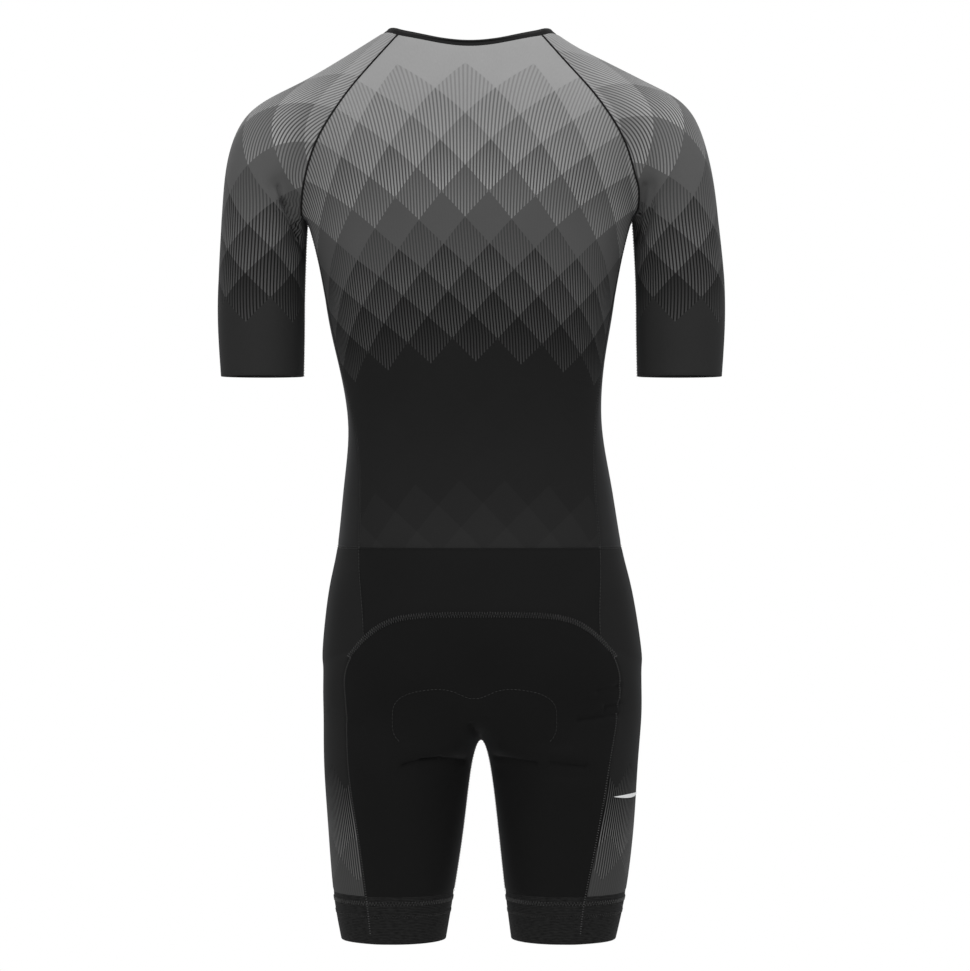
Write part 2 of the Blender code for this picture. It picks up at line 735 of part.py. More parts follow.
# ---------------------------------------------------------------- the reflective tab
def reflective_tab():
    """A narrow strip that lies on the right thigh's outer panel, pointed at both ends."""
    panel = bpy.data.objects["thigh_side_right"].data
    tree = BVHTree.FromPolygons(
        [v.co for v in panel.vertices], [tuple(p.vertices) for p in panel.polygons]
    )
    hem = LEG[0]
    centre = Vector(((hem.middle - hem.out) / 1000, hem.y / 1000, TAB_Z))
    turns = np.radians(np.arange(TAB_FROM, TAB_TO - 0.1, -2.5))
    rings = []
    for k, turn in enumerate(turns):
        share = sin(np.pi * (k + 0.35) / (len(turns) - 0.3))
        for z in (0.5, -0.5):
            start = centre + Vector((0, 0, z * TAB_HEIGHT * share))
            way = Vector((-cos(turn), sin(turn), 0))
            hit, _, _, _ = tree.ray_cast(start + way * 0.2, -way)
            rings.append(hit + way * SEAM_GAP)
    count = len(rings)
    ways = [Vector((-cos(t), sin(t), 0)) for t in turns for _ in (0, 1)]
    outer = np.array([ring + way * TAB_THICKNESS for ring, way in zip(rings, ways)])
    faces = [[k, k + 1, k + 3, k + 2] for k in range(0, count - 2, 2)]
    normals = np.array([tuple(way) for way in ways])
    _, rim = drawn_back(outer, normals, faces, lambda a, b: 0.0)
    walled("reflective_tab", outer, normals, faces, rim, TAB_THICKNESS)


def main():
    for obj in list(bpy.data.objects):
        bpy.data.objects.remove(obj)
    for name in (SUIT, "cutters"):
        collection = bpy.data.collections.new(name)
        bpy.context.scene.collection.children.link(collection)
    bpy.data.collections["cutters"].hide_render = True
    surface = suit_surface()
    cut_pieces(surface)
    line, normals = zip_line(surface)
    for side in (1, -1):
        zip_tape(line, normals, side)
    zip_slider_and_pull(line, normals)
    reflective_tab()


main()
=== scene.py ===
# %% [markdown]
# # A one-piece triathlon suit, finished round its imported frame
#
# The real suit is cut from thin stretch knits and sewn flat: a printed back, raglan sleeves, dark
# side and front panels, a dense seat, outer thigh panels and elastic leg grippers. It is filled
# out here with nobody inside. The frame brings the same panels as plain rigid walls. This script
# gives each of them a finer wall on the same form, with creases, cloth, print and sewing.

import json
from collections import Counter, namedtuple
from math import acos, asin, cos, degrees, radians, sin

import bmesh
import bpy
import numpy as np
from mathutils import Matrix, Vector
from mathutils.bvhtree import BVHTree
from mathutils.kdtree import KDTree


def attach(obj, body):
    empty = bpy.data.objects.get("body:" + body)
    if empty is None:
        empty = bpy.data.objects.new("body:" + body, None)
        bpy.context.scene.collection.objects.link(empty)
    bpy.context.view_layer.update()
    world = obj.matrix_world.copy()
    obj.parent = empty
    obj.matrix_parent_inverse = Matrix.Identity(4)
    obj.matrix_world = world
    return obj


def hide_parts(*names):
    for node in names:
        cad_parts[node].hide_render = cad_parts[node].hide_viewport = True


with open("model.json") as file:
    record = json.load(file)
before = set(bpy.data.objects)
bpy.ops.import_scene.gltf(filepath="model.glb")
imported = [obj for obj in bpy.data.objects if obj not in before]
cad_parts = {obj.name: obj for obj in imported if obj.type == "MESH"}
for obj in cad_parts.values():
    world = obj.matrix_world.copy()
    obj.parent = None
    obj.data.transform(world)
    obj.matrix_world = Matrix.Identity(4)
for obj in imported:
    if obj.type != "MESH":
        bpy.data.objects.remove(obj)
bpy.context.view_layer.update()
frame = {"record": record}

# %% [markdown]
# ## Camera and light
#
# The suit is seen from straight behind with a long lens, so its lines hardly converge. Soft
# light from a large area on each side shows the roundness of a dark cloth better than one lamp,
# and the pale world fills the shadows as the walls of a white studio do. The world is brighter
# where it is seen directly, which keeps the background white without washing out the cloth.

# %% Camera
CAMERA_AT, CAMERA_TURN = (-0.01575, 4.2, -0.467), (radians(90), 0, radians(180))
LENS, SENSOR = 148.4, 36.0
scene = bpy.context.scene


def placed(name, data):
    """A new object in the scene, made of this data."""
    obj = bpy.data.objects.new(name, data)
    scene.collection.objects.link(obj)
    return obj


camera = placed("camera", bpy.data.cameras.new("camera"))
camera.data.lens, camera.data.sensor_width = LENS, SENSOR
camera.location, camera.rotation_euler = CAMERA_AT, CAMERA_TURN
scene.camera = camera
scene.view_settings.view_transform = "Standard"
print("camera looks along -Y with a", LENS, "mm lens")


# %% Colours, nodes and materials
def linear(code):
    """An sRGB hex colour as the linear red, green, blue and alpha that a shader takes."""
    channels = [int(code[i : i + 2], 16) / 255 for i in (1, 3, 5)]
    return (*(c / 12.92 if c <= 0.04045 else ((c + 0.055) / 1.055) ** 2.4 for c in channels), 1.0)


def fill(node, values):
    """Gives a node's inputs these values, or links to them where they are outputs."""
    for key, value in values.items():
        if isinstance(value, bpy.types.NodeSocket):
            node.id_data.links.new(value, node.inputs[key])
        else:
            node.inputs[key].default_value = value


def add_node(tree, kind, links=None, out=0, **settings):
    """Adds one node with its settings, then its values and links, and returns one output."""
    node = tree.nodes.new(kind)
    for name, value in settings.items():
        setattr(node, name, value)
    fill(node, links or {})
    return node.outputs[out] if node.outputs else node


def new_material(name, values):
    """A material, and its shader with these values."""
    material = bpy.data.materials.new(name)
    material.use_nodes = True
    shader = material.node_tree.nodes["Principled BSDF"]
    fill(shader, values)
    return material, shader


# %% World and lamps
WORLD_SEEN, WORLD_LIGHT = 1.0, 0.56
Lamp = namedtuple("Lamp", "name at size watts")
LAMPS = (
    Lamp("key_behind_left", (1.9, 2.6, 1.3), 1.8, 35),
    Lamp("key_behind_right", (-2.1, 2.5, 1.4), 1.8, 23),
    Lamp("top", (-0.5, 0.5, 1.9), 1.6, 26),
    Lamp("front_left", (1.8, -2.6, 1.0), 1.8, 27),
    Lamp("front_right", (-1.8, -2.6, 1.0), 1.8, 17),
)
LAMPS_AIM = Vector((0, 0, -0.42))

scene.world = bpy.data.worlds.new("studio")
scene.world.use_nodes = True
tree = scene.world.node_tree
tree.nodes.clear()
seen = add_node(tree, "ShaderNodeLightPath", out="Is Camera Ray")
links = {"Value": seen, "To Min": WORLD_LIGHT, "To Max": WORLD_SEEN}
strength = add_node(tree, "ShaderNodeMapRange", links)
links = {"Color": linear("#FFFFFF"), "Strength": strength}
add_node(tree, "ShaderNodeOutputWorld", {"Surface": add_node(tree, "ShaderNodeBackground", links)})

for lamp in LAMPS:
    obj = placed(lamp.name, bpy.data.lights.new(lamp.name, "AREA"))
    obj.data.shape, obj.data.size, obj.data.energy = "DISK", lamp.size, lamp.watts
    obj.location = lamp.at
    obj.rotation_euler = (LAMPS_AIM - obj.location).to_track_quat("-Z", "Y").to_euler()
print(len(LAMPS), "soft lamps")

# %% [markdown]
# ## The floor
#
# The suit is held up by its wearer, so it hangs clear of the floor. A plain pale disc lies well
# below it and is small enough to stay out of the long lens's view.

# %% Floor
FLOOR_Z, FLOOR_RADIUS = -1.12, 1.0

floor = placed("floor", bpy.data.meshes.new("floor"))
disc = bmesh.new()
bmesh.ops.create_circle(disc, cap_ends=True, radius=FLOOR_RADIUS, segments=96)
bmesh.ops.translate(disc, vec=(0, 0, FLOOR_Z), verts=disc.verts)
disc.to_mesh(floor.data)
disc.free()
pale, _ = new_material("pale_painted_floor", {"Base Color": linear("#E9E9E7"), "Roughness": 0.85})
floor.data.materials.append(pale)

# %% [markdown]
# ## The form of the suit, from short tables
#
# A maker's pattern has few sizes: where each seam runs, how wide and deep the body is at a
# height, how big the cuff is. The tables hold those sizes in millimetres, on the centre lines
# and at the seams, and are the same ones that shaped the frame.

# %% Cloth and columns
CLOTH = 0.0012  # wall of the knitted panels
BAND = 0.0016  # wall of the neck binding and of the leg grippers
FRAME_GAP = 0.0003  # between the frame's panels
SEAM_GAP = 0.0001  # between these panels, where the sewing covers it
SEAM_DIP = 0.0005  # how far the cloth is drawn in at a seam
ZIP_OPENING = 0.0146  # between the two front panels' edges
ZIP_MIDDLE = 0.0006  # between the two tapes

# Columns are counted from the centre back towards the wearer's left.
SEAM_BACK, SIDE, SEAM_FRONT, CENTRE_FRONT = 4, 6, 8, 12
CAP = 10  # columns of a sleeve between its two raglan seams
UNDERARM = 4  # columns of a sleeve under the arm
SLEEVE_COLUMNS = 100  # added to a sleeve's columns to tell them from the body's
SLEEVE_RING = CAP + UNDERARM
CROTCH = 4  # columns of a leg on its inner side
LEG_RING = CENTRE_FRONT + CROTCH
INSEAM = CENTRE_FRONT + CROTCH // 2

# %% Rows above the armpits
Yoke = namedtuple("Yoke", "back rear top fore front arc swept", defaults=(0,))
YOKES = (
    Yoke((0, 60, -7.8), (74, 40, 3.3), (86.5, -2, 5.9), (70, -50, -12), (0, -74, -58), 58, 0.5),
    Yoke((0, 63, -12.3), (75, 44, 1.2), (94, -2, 2.5), (75, -56, -20), (0, -79, -66), 62, 0.5),
    Yoke((0, 84, -50), (113, 58, -42), (144, -2, -26), (102, -74, -52), (0, -93, -92), 75, 0.33),
    Yoke((0, 96, -88), (137, 70, -74), (191, 0, -51), (130, -82, -86), (0, -103, -118), 90),
    Yoke((0, 104, -126), (159, 70, -111), (233, 2, -78), (151, -78, -122), (0, -110, -144), 104),
    Yoke((0, 109, -163), (172, 53, -151), (254, 3, -126), (166, -58, -155), (0, -114, -170), 122),
    Yoke((0, 111, -197), (174, 34, -183), (260, 3, -183), (172, -34, -184), (0, -116, -196), 142),
)
YOKE_ARC = 66.0  # degrees of the back's and the front's own section
UNDERARM_X, UNDERARM_Z = 166, -173
ARMPIT = len(YOKES) - 1

# %% Rows of the body below the armpits
Section = namedtuple(
    "Section",
    "z_back z_seam z_side z_front centre half_width back front square seam_back seam_front tuck",
)
SECTIONS = (
    Section(-264, -263, -262, -262, 0, 153, 110, 116, 2.3, 0.990, 0.975, 0),
    Section(-331, -331, -331, -331, -1, 141, 101, 108, 2.3, 0.980, 0.950, 0),
    Section(-399, -399, -399, -399, -5, 133, 90, 101, 2.25, 0.945, 0.930, 0),
    Section(-465, -465, -465, -465, -8, 140, 93, 102, 2.25, 0.867, 0.910, 0),
    Section(-531, -531, -531, -531, -10, 149, 106, 106, 2.25, 0.834, 0.890, 0),
    Section(-572, -575, -577, -572, -11, 159, 114, 108, 2.3, 0.775, 0.880, 0),
    Section(-599, -624, -636, -612, -12.5, 167, 119, 108, 2.3, 0.740, 0.870, 0),
    Section(-637, -642, -657, -640, -13, 167, 123, 107, 2.3, 0.830, 0.860, 2),
    Section(-672, -670, -683, -672, -13, 167, 123, 104, 2.3, 0.866, 0.855, 6),
    Section(-708, -702, -714, -704, -13, 166.5, 116, 98, 2.3, 0.856, 0.850, 12),
)
WAIST, SEAT = 4, 6  # rows of SECTIONS at the waist seam and at the arched seat seam
WAIST_ROW, SEAT_ROW = len(YOKES) + WAIST, len(YOKES) + SEAT
TUCK_WIDTH = 34.0
CROTCH_POINTS = ((-11.6, -42, -725), (-11.6, 8, -733), (-11.6, 60, -726))
CROTCH_ROW = len(YOKES) + len(SECTIONS) - 1

# %% Rows of the sleeves and of the legs
Cuff = namedtuple("Cuff", "z out half_width y half_depth")
SLEEVE = (Cuff(-246, 219, 46, 0, 54), Cuff(-299, 220, 46, -2, 52), Cuff(-352, 219, 44, -4, 49))
UNDERARM_ARC = 142.0
Hem = namedtuple("Hem", "z middle out half_width y half_depth seam_left seam_right")
LEG = (
    Hem(-761, -11.5, 87, 77, 8, 96, 0.655, 0.585),
    Hem(-824, -11.5, 89, 71, 6, 85, 0.563, 0.475),
    Hem(-891, -10.1, 90, 63.3, 4, 75.8, 0.456, 0.332),
    Hem(-940.5, -9.0, 89, 55, 3, 67, 0.430, 0.320),
)
GRIPPER = 2  # the row of LEG at the gripper's top edge
GRIPPER_ROW, HEM_ROW = CROTCH_ROW + 1 + GRIPPER, CROTCH_ROW + len(LEG)
LEG_CENTRE_ARC, LEG_FRONT_ARC = 140.0, -56.0
print("rows:", len(YOKES), "yoke,", len(SECTIONS), "body,", len(SLEEVE), "sleeve,", len(LEG), "leg")


# %% [markdown]
# ## From tables to sections
#
# Every row becomes a ring of points. The yoke's rows are arcs that bulge at the centre, a
# sleeve's cap is an arc over the shoulder, a body row is a rounded square and a leg is an oval.

# %% Points of a row
def arc_row(middle, seam, columns, swept=0.0):
    """Points from a centre line out to a seam, on an arc that bulges at the centre.

    Swept is how far its height follows a wave that is flat at both ends, not the arc.
    """
    span = radians(YOKE_ARC)
    angles = span * np.arange(columns + 1) / columns
    share = (np.cos(angles) - cos(span)) / (1 - cos(span))
    across = np.sin(angles) / sin(span)
    middle, seam = np.array(middle, float), np.array(seam, float)
    row = seam + (middle - seam) * share[:, None]
    row[:, 0] = seam[0] * across
    row[:, 2] += (middle[2] - seam[2]) * ((1 + np.cos(np.pi * across)) / 2 - share) * swept
    return row


def cap_row(yoke):
    """The sleeve's points from the rear raglan seam over the shoulder to the fore one."""
    rear, top, fore = (np.array(point, float) for point in (yoke.rear, yoke.top, yoke.fore))
    reach = radians(yoke.arc)
    centre = ((rear + fore) / 2 - top * cos(reach)) / (1 - cos(reach))
    angles = reach * np.linspace(1, -1, CAP + 1)[:, None]
    return centre + (top - centre) * np.cos(angles) + (rear - fore) / 2 / sin(reach) * np.sin(angles)


def on_section(section, column, side):
    """A point of a body section. Columns run from 0 at the centre back to 12."""
    turn_back = asin(section.seam_back ** (section.square / 2))
    turn_front = asin(section.seam_front ** (section.square / 2))
    stops = (0, SEAM_BACK, SIDE, SEAM_FRONT, CENTRE_FRONT)
    angle = np.interp(column, stops, (0, turn_back, np.pi / 2, np.pi - turn_front, np.pi))
    heights = (section.z_seam, section.z_side, section.z_front, section.z_front)
    z = np.interp(column, stops[1:], heights)
    if column < SEAM_BACK:
        z += (section.z_back - section.z_seam) * (1 - (column / SEAM_BACK) ** 4)
    across = section.half_width * abs(sin(angle)) ** (2 / section.square)
    depth = section.back if column <= SIDE else section.front
    along = depth * abs(cos(angle)) ** (2 / section.square)
    along -= section.tuck * np.exp(-((across / TUCK_WIDTH) ** 2))
    return (section.centre + side * across, along if column <= SIDE else -along, z)


def ring_row(x, size, angles, side):
    """Points of an oval ring. 0 degrees is its outer side and 90 is its back."""
    turns = np.radians(angles)
    along = size.y + size.half_depth * np.sin(turns)
    across = x + side * size.half_width * np.cos(turns)
    return np.stack([across, along, np.full(len(turns), size.z)], axis=1)


# %% [markdown]
# ## One coarse cage for the whole suit
#
# Subdivision surfaces need few, well placed quads. All panels share one cage whose rows and
# columns follow the seams, so neighbouring panels meet exactly. Each face keeps the name of its
# panel and its place, which is the column and row of its corners.

# %% Names of points and of panels
def word(side):
    return "left" if side > 0 else "right"


def point_name(column, row, side):
    """A point's own column, row and side. The centre lines and the crotch are on both sides."""
    if column >= SLEEVE_COLUMNS:
        k = (column - SLEEVE_COLUMNS) % SLEEVE_RING
        column = SLEEVE_COLUMNS + k
        if row <= ARMPIT and (k == 0 or k >= CAP):
            column = SEAM_FRONT - (k - CAP) if k else SEAM_BACK
    elif row >= CROTCH_ROW:
        column %= LEG_RING
    shared = row <= CROTCH_ROW and column in (0, *range(CENTRE_FRONT, LEG_RING))
    return column, row, 0 if shared else side


def panel_at(column, row, side):
    """The panel that the face below and beside this place belongs to."""
    if row == 0:
        return "neck_binding"
    if column >= SLEEVE_COLUMNS or row >= GRIPPER_ROW:
        return f"{'gripper' if row >= GRIPPER_ROW else 'sleeve'}_{word(side)}"
    if SEAM_BACK <= column < SEAM_FRONT:
        return f"{'side_panel' if row < WAIST_ROW else 'thigh_side'}_{word(side)}"
    if SEAM_FRONT <= column < INSEAM:
        return f"front_{word(side)}" if row < WAIST_ROW else "front_lower"
    if row < WAIST_ROW:
        return "back_panel"
    return "seat_yoke" if row < SEAT_ROW else "seat_panel"


# %% The cage
class Cage:
    """Points, by a name each, and four-sided faces, each with its panel and place."""

    def __init__(self):
        self.index, self.points, self.faces, self.panels, self.places = {}, [], [], [], []

    def add_points(self, row, columns, side, points):
        """Adds points in millimetres, but none whose name is there already."""
        for column, xyz in zip(columns, points):
            name = point_name(column, row, side)
            if name not in self.index:
                self.index[name] = len(self.points)
                self.points.append([value / 1000 for value in xyz])

    def add_faces(self, row, columns, side):
        """Adds a face for each column below this row. A right side is wound the other way."""
        for k in columns:
            place = [(k, row), (k + 1, row), (k + 1, row + 1), (k, row + 1)][::side]
            self.faces.append([self.index[point_name(*at, side)] for at in place])
            self.places.append(place)
            self.panels.append(panel_at(k, row, side))


# %% The yoke, and the sleeve below the armpit
def upper_body(cage, side):
    """Yoke rows: the back, the front and the cap of the sleeve on one side."""
    mirror = (side, 1, 1)
    for row, yoke in enumerate(YOKES):
        back = arc_row(yoke.back, yoke.rear, SEAM_BACK, yoke.swept)
        front = arc_row(yoke.front, yoke.fore, CENTRE_FRONT - SEAM_FRONT)
        cage.add_points(row, range(SEAM_BACK + 1), side, back * mirror)
        cage.add_points(row, range(CENTRE_FRONT, SEAM_FRONT - 1, -1), side, front * mirror)
        columns = range(SLEEVE_COLUMNS, SLEEVE_COLUMNS + CAP + 1)
        cage.add_points(row, columns, side, cap_row(yoke) * mirror)
    rear, fore = np.array(YOKES[-1].rear, float), np.array(YOKES[-1].fore, float)
    share = np.arange(1, UNDERARM)[:, None] / UNDERARM
    under = rear + (np.array([UNDERARM_X, 0, UNDERARM_Z]) - rear) * np.sin(share * np.pi)
    under[:, 1:2] = rear[1] + (fore[1] - rear[1]) * share
    cage.add_points(ARMPIT, range(SEAM_BACK + 1, SEAM_FRONT), side, under * mirror)
    columns = [*range(SEAM_BACK), *range(SEAM_FRONT, CENTRE_FRONT)]
    columns += range(SLEEVE_COLUMNS, SLEEVE_COLUMNS + CAP)
    for row in range(ARMPIT):
        cage.add_faces(row, columns, side)


def sleeve(cage, side):
    """The sleeve's tube below the armpit."""
    under = -UNDERARM_ARC - (360 - 2 * UNDERARM_ARC) * np.arange(1, UNDERARM) / UNDERARM
    angles = [*np.linspace(UNDERARM_ARC, -UNDERARM_ARC, CAP + 1), *under]
    columns = range(SLEEVE_COLUMNS, SLEEVE_COLUMNS + SLEEVE_RING)
    for row, cuff in enumerate(SLEEVE, start=ARMPIT):
        cage.add_points(row + 1, columns, side, ring_row(side * cuff.out, cuff, angles, side))
        cage.add_faces(row, columns, side)


# %% The body below the armpits, and the legs
def lower_body(cage, side):
    """Body rows from the armpit down to the crotch."""
    for row, section in enumerate(SECTIONS, start=ARMPIT):
        points = [on_section(section, k, side) for k in range(CENTRE_FRONT + 1)]
        cage.add_points(row + 1, range(CENTRE_FRONT + 1), side, points)
        cage.add_faces(row, range(CENTRE_FRONT), side)


def leg(cage, side):
    """One leg, from the crotch to the hem."""
    cage.add_points(CROTCH_ROW, range(CENTRE_FRONT + 1, LEG_RING), side, CROTCH_POINTS)
    stops = (0, SEAM_BACK, SIDE, SEAM_FRONT, CENTRE_FRONT, LEG_RING)
    for row, hem in enumerate(LEG, start=CROTCH_ROW):
        turn = degrees(acos(hem.seam_left if side > 0 else hem.seam_right))
        turns = (LEG_CENTRE_ARC, turn, 0, LEG_FRONT_ARC, -LEG_CENTRE_ARC, LEG_CENTRE_ARC - 360)
        angles = np.interp(range(LEG_RING), stops, turns)
        points = ring_row(hem.middle + side * hem.out, hem, angles, side)
        cage.add_points(row + 1, range(LEG_RING), side, points)
        cage.add_faces(row, range(LEG_RING), side)


# %% [markdown]
# ## Making the smooth surface pass through the sizes
#
# Subdivision pulls a surface inside its cage, so a suit built straight on the tables would come
# out too small. The rule that says where a cage point ends up is linear, so one set of equations
# gives the cage whose smooth surface passes through every point of the tables.

# %% Solving for the cage
def solved(points, faces):
    """Cage points whose smooth surface passes through the given points.

    Catmull-Clark puts a point with n edges at (n*n*v + 4*edges + diagonals) / (n*(n+5)),
    and a point of an open edge at (4*v + its two neighbours) / 6.
    """
    owners = Counter(frozenset((face[i], face[i - 1])) for face in faces for i in range(4))
    rim = {v for pair, used in owners.items() if used == 1 for v in pair}
    edges = [[] for _ in points]
    for (a, b), used in owners.items():
        for v, other in ((a, b), (b, a)):
            if used == 1 or v not in rim:
                edges[v].append(other)
    matrix = np.zeros((len(points), len(points)))
    for v, others in enumerate(edges):
        n = len(others)
        own, each = (4 / 6, 1 / 6) if v in rim else (n / (n + 5), 4 / (n * (n + 5)))
        matrix[v, v], matrix[v, others] = own, each
    for face in faces:
        for i in range(4):
            if face[i] not in rim:
                n = len(edges[face[i]])
                matrix[face[i], face[i - 2]] += 1 / (n * (n + 5))
    return np.linalg.solve(matrix, points)


# %% [markdown]
# ## Creases
#
# A filled stretch suit has few creases: the sleeves buckle where they leave the armpits, the
# seat folds where it turns under into the legs, and short pulls run from the hips and the
# crotch. Each is a soft trough between two places, as uneven as real ones are. The first eight
# are the large folds that the frame has too.

# %% Folds and creases, in millimetres
Fold = namedtuple("Fold", "facing x1 z1 x2 z2 depth width")
FOLDS = [Fold(*sizes) for sizes in (
    (1, 199, -158, 180, -214, 4.0, 10), (1, -184, -158, -177, -206, 4.0, 9),
    (-1, 196, -154, 178, -212, 3.5, 10), (-1, -196, -150, -178, -208, 3.5, 10),
    (1, 68, -760, 8, -757, 3.0, 10), (1, -29, -757, -118, -763, 2.5, 10),
    (-1, 20, -738, 84, -700, 3.0, 11), (-1, -40, -736, -112, -706, 2.5, 11),
)]
CREASES = [Fold(*sizes) for sizes in (
    # back of the sleeves, fanning out of the armpits
    (1, 198, -158, 194, -172, 3.0, 2.4), (1, 194, -172, 186.5, -188, 7.0, 3.0),
    (1, 186.5, -188, 177, -210, 7.0, 3.0), (1, 189, -176, 179, -193, 4.0, 2.4),
    (1, 180, -200, 173, -224, 3.6, 2.6), (1, 206, -196, 186, -250, 1.2, 4.5),
    (1, 200, -166, 187, -200, -1.4, 3.4), (1, -182, -156, -177, -184, 2.6, 2.6),
    (1, -177, -184, -172, -208, 5.0, 2.8), (1, -190, -178, -177, -214, 2.2, 2.6),
    (1, -205, -198, -184, -250, 1.2, 4.5), (1, -187, -164, -181, -192, -1.2, 3.4),
    # front of the sleeves
    (-1, 198, -156, 182, -208, 3.0, 3.6), (-1, 208, -186, 188, -236, 2.0, 4.2),
    (-1, -200, -154, -182, -204, 2.8, 3.6), (-1, -207, -190, -187, -232, 1.9, 4.2),
    # back of the body, under the armpits
    (1, 166, -196, 142, -226, 1.2, 4.5), (1, -168, -192, -146, -218, 1.1, 4.5),
    # under the seat, each with the fuller cloth above it
    (1, 68, -753.5, 50, -748.5, 3.4, 2.4), (1, 50, -748.5, 30, -747.5, 5.0, 2.6),
    (1, 30, -747.5, 6, -752, 3.6, 2.4), (1, 58, -740, 18, -739, -2.0, 6.5),
    (1, 54, -761, 14, -761, -1.0, 5.0), (1, -26, -748, -68, -752, 3.2, 2.2),
    (1, -84, -751, -118, -755, 2.6, 2.2), (1, -34, -738, -104, -743, -1.4, 6.0),
    (1, -2, -713, -8, -722, 3.6, 3.6),
    # hips, short pulls towards the thigh's outer seam
    (1, -132, -678, -154, -673, 2.0, 2.8), (1, -140, -694, -156, -692, 2.0, 2.6),
    (1, -112, -708, -154, -703, 2.2, 2.8), (1, -124, -683, -148, -674, -1.0, 3.5),
    (1, 112, -714, 146, -702, 1.2, 3.5),
    # front of the briefs, and the waist
    (-1, 22, -734, 66, -716, 2.0, 4.2), (-1, -42, -732, -94, -712, 1.9, 4.2),
    (-1, 60, -748, 104, -736, 1.5, 4.6), (-1, -82, -750, -128, -738, 1.4, 4.6),
    (-1, 60, -404, 118, -388, 1.2, 7.0), (-1, -66, -412, -122, -398, 1.1, 7.0),
    (-1, 40, -452, 96, -462, 1.0, 7.0),
)]
DEEP, NARROW = 2.0, 4.0  # creases that the points are drawn in to
DRAW, DRAW_REACH = 0.62, 9.0


def beside_fold(fold, points, normals):
    """How far each point is from the fold, in mm, across and up and straight, and how much
    it faces the fold."""
    start = np.array([fold.x1, fold.z1])
    way = np.array([fold.x2, fold.z2]) - start
    from_start = points[:, [0, 2]] * 1000 - start
    gap = from_start - np.clip(from_start @ way / (way @ way), 0, 1)[:, None] * way
    return gap, np.linalg.norm(gap, axis=1), np.clip(normals[:, 1] * fold.facing * 2, 0, 1)


def is_sharp(fold):
    return fold.depth >= DEEP and fold.width <= NARROW


def drawn_in(points, normals):
    """The points, slid along the cloth towards the nearest sharp crease, which needs them."""
    nearest, slide = np.full(len(points), np.inf), np.zeros((len(points), 3))
    for fold in filter(is_sharp, CREASES):
        gap, away, faces_it = beside_fold(fold, points, normals)
        closer = away < nearest
        nearest[closer] = away[closer]
        slide[closer] = -(gap * faces_it[:, None])[closer][:, [0, 0, 1]] * (1, 0, 1)
    slide *= DRAW * np.exp(-((nearest[:, None] / DRAW_REACH) ** 2)) / 1000
    return points + slide - normals * (normals * slide).sum(axis=1)[:, None]


def folded(points, normals, folds):
    """The points, pushed in along the folds on the side of the suit that each one faces."""
    soft, sharp = np.zeros((2, len(points)))
    for fold in folds:
        _, away, faces_it = beside_fold(fold, points, normals)
        push = fold.depth * np.exp(-((away / fold.width) ** 2)) * faces_it
        if is_sharp(fold):
            sharp = np.maximum(sharp, push)
        else:
            soft += push
    return points - normals * (soft + sharp)[:, None] / 1000


# %% Measures of a surface of quads
def normals_of(points, faces):
    """The smooth normal at each point of a surface of quads."""
    corner = points[faces]
    flat = np.cross(corner[:, 2] - corner[:, 0], corner[:, 3] - corner[:, 1])
    total = np.zeros_like(points)
    for i in range(4):
        for axis in range(3):
            total[:, axis] += np.bincount(faces[:, i], flat[:, axis], len(points))
    return total / np.linalg.norm(total, axis=1)[:, None]


def open_edges(faces):
    """The edges with one face, each as the face and the corner that it starts from."""
    count = faces.max() + 1
    ahead = np.roll(faces, -1, axis=1)
    return np.argwhere(~np.isin(faces * count + ahead, ahead * count + faces)).T


def pair_keys(a, b):
    """One number for each pair of points, whichever comes first."""
    return np.minimum(a, b) * 10_000_000 + np.maximum(a, b)


def lengths_along(points):
    """How far along a line of points each of them lies."""
    return np.concatenate([[0], np.cumsum(np.linalg.norm(np.diff(points, axis=0), axis=1))])


# %% The suit's uneven hang
LEAN, LEAN_FROM, LEAN_OVER = 0.012, -0.300, 0.150  # the right shoulder is the higher one
LEAN_X, LEAN_WIDE = 0.085, 0.080  # but not at the neck
SLOPE, SLOPE_X, SLOPE_WIDE, SLOPE_DEEP = 0.0024, -0.112, 0.026, 0.090  # it starts lower
NARROWED, ARM_FROM, ARM_OVER = 0.005, 0.170, 0.060  # and its arm is the narrower one
ARM_Z, ARM_HEIGHT = -0.105, 0.055
ARMS_ASIDE, ARMS_X, ARMS_FADE = 0.0015, 0.165, 0.030  # both sleeves hang a little to the right
ARMPIT_Z, ARMPIT_FADE, CUFF_Z, CUFF_FADE = -0.190, 0.060, -0.450, 0.050


def ramp(values, start, over):
    """From 0 at the start to 1 this far over it."""
    return np.clip((values - start) / over, 0, 1)


def hung(points):
    """The points of the even suit, moved to where they hang."""
    x, y, z = points.T.copy()
    z -= x * LEAN * ramp(z, LEAN_FROM, LEAN_OVER) * ramp(np.abs(x), LEAN_X, LEAN_WIDE)
    z -= SLOPE * np.exp(-(((x - SLOPE_X) / SLOPE_WIDE) ** 2)) * ramp(z, -SLOPE_DEEP, SLOPE_DEEP)
    x += NARROWED * ramp(-x, ARM_FROM, ARM_OVER) * np.exp(-(((z - ARM_Z) / ARM_HEIGHT) ** 2))
    hanging = ramp(np.abs(x), ARMS_X, ARMS_FADE) * ramp(-z, -ARMPIT_Z, ARMPIT_FADE)
    x -= ARMS_ASIDE * hanging * ramp(z, CUFF_Z, CUFF_FADE)
    return np.stack([x, y, z], axis=1)


# %% The smooth surface at any fineness
Surface = namedtuple("Surface", "points normals faces panels places sides hems on_zip uncreased")


def baked(obj):
    """The object's mesh as its modifiers leave it."""
    return bpy.data.meshes.new_from_object(obj.evaluated_get(bpy.context.evaluated_depsgraph_get()))


def values_of(items, key, width, kind=float):
    """One property of all a mesh's points, corners or faces, as rows of this width."""
    values = np.empty(len(items) * width, kind)
    items.foreach_get(key, values)
    return values.reshape(-1, width)


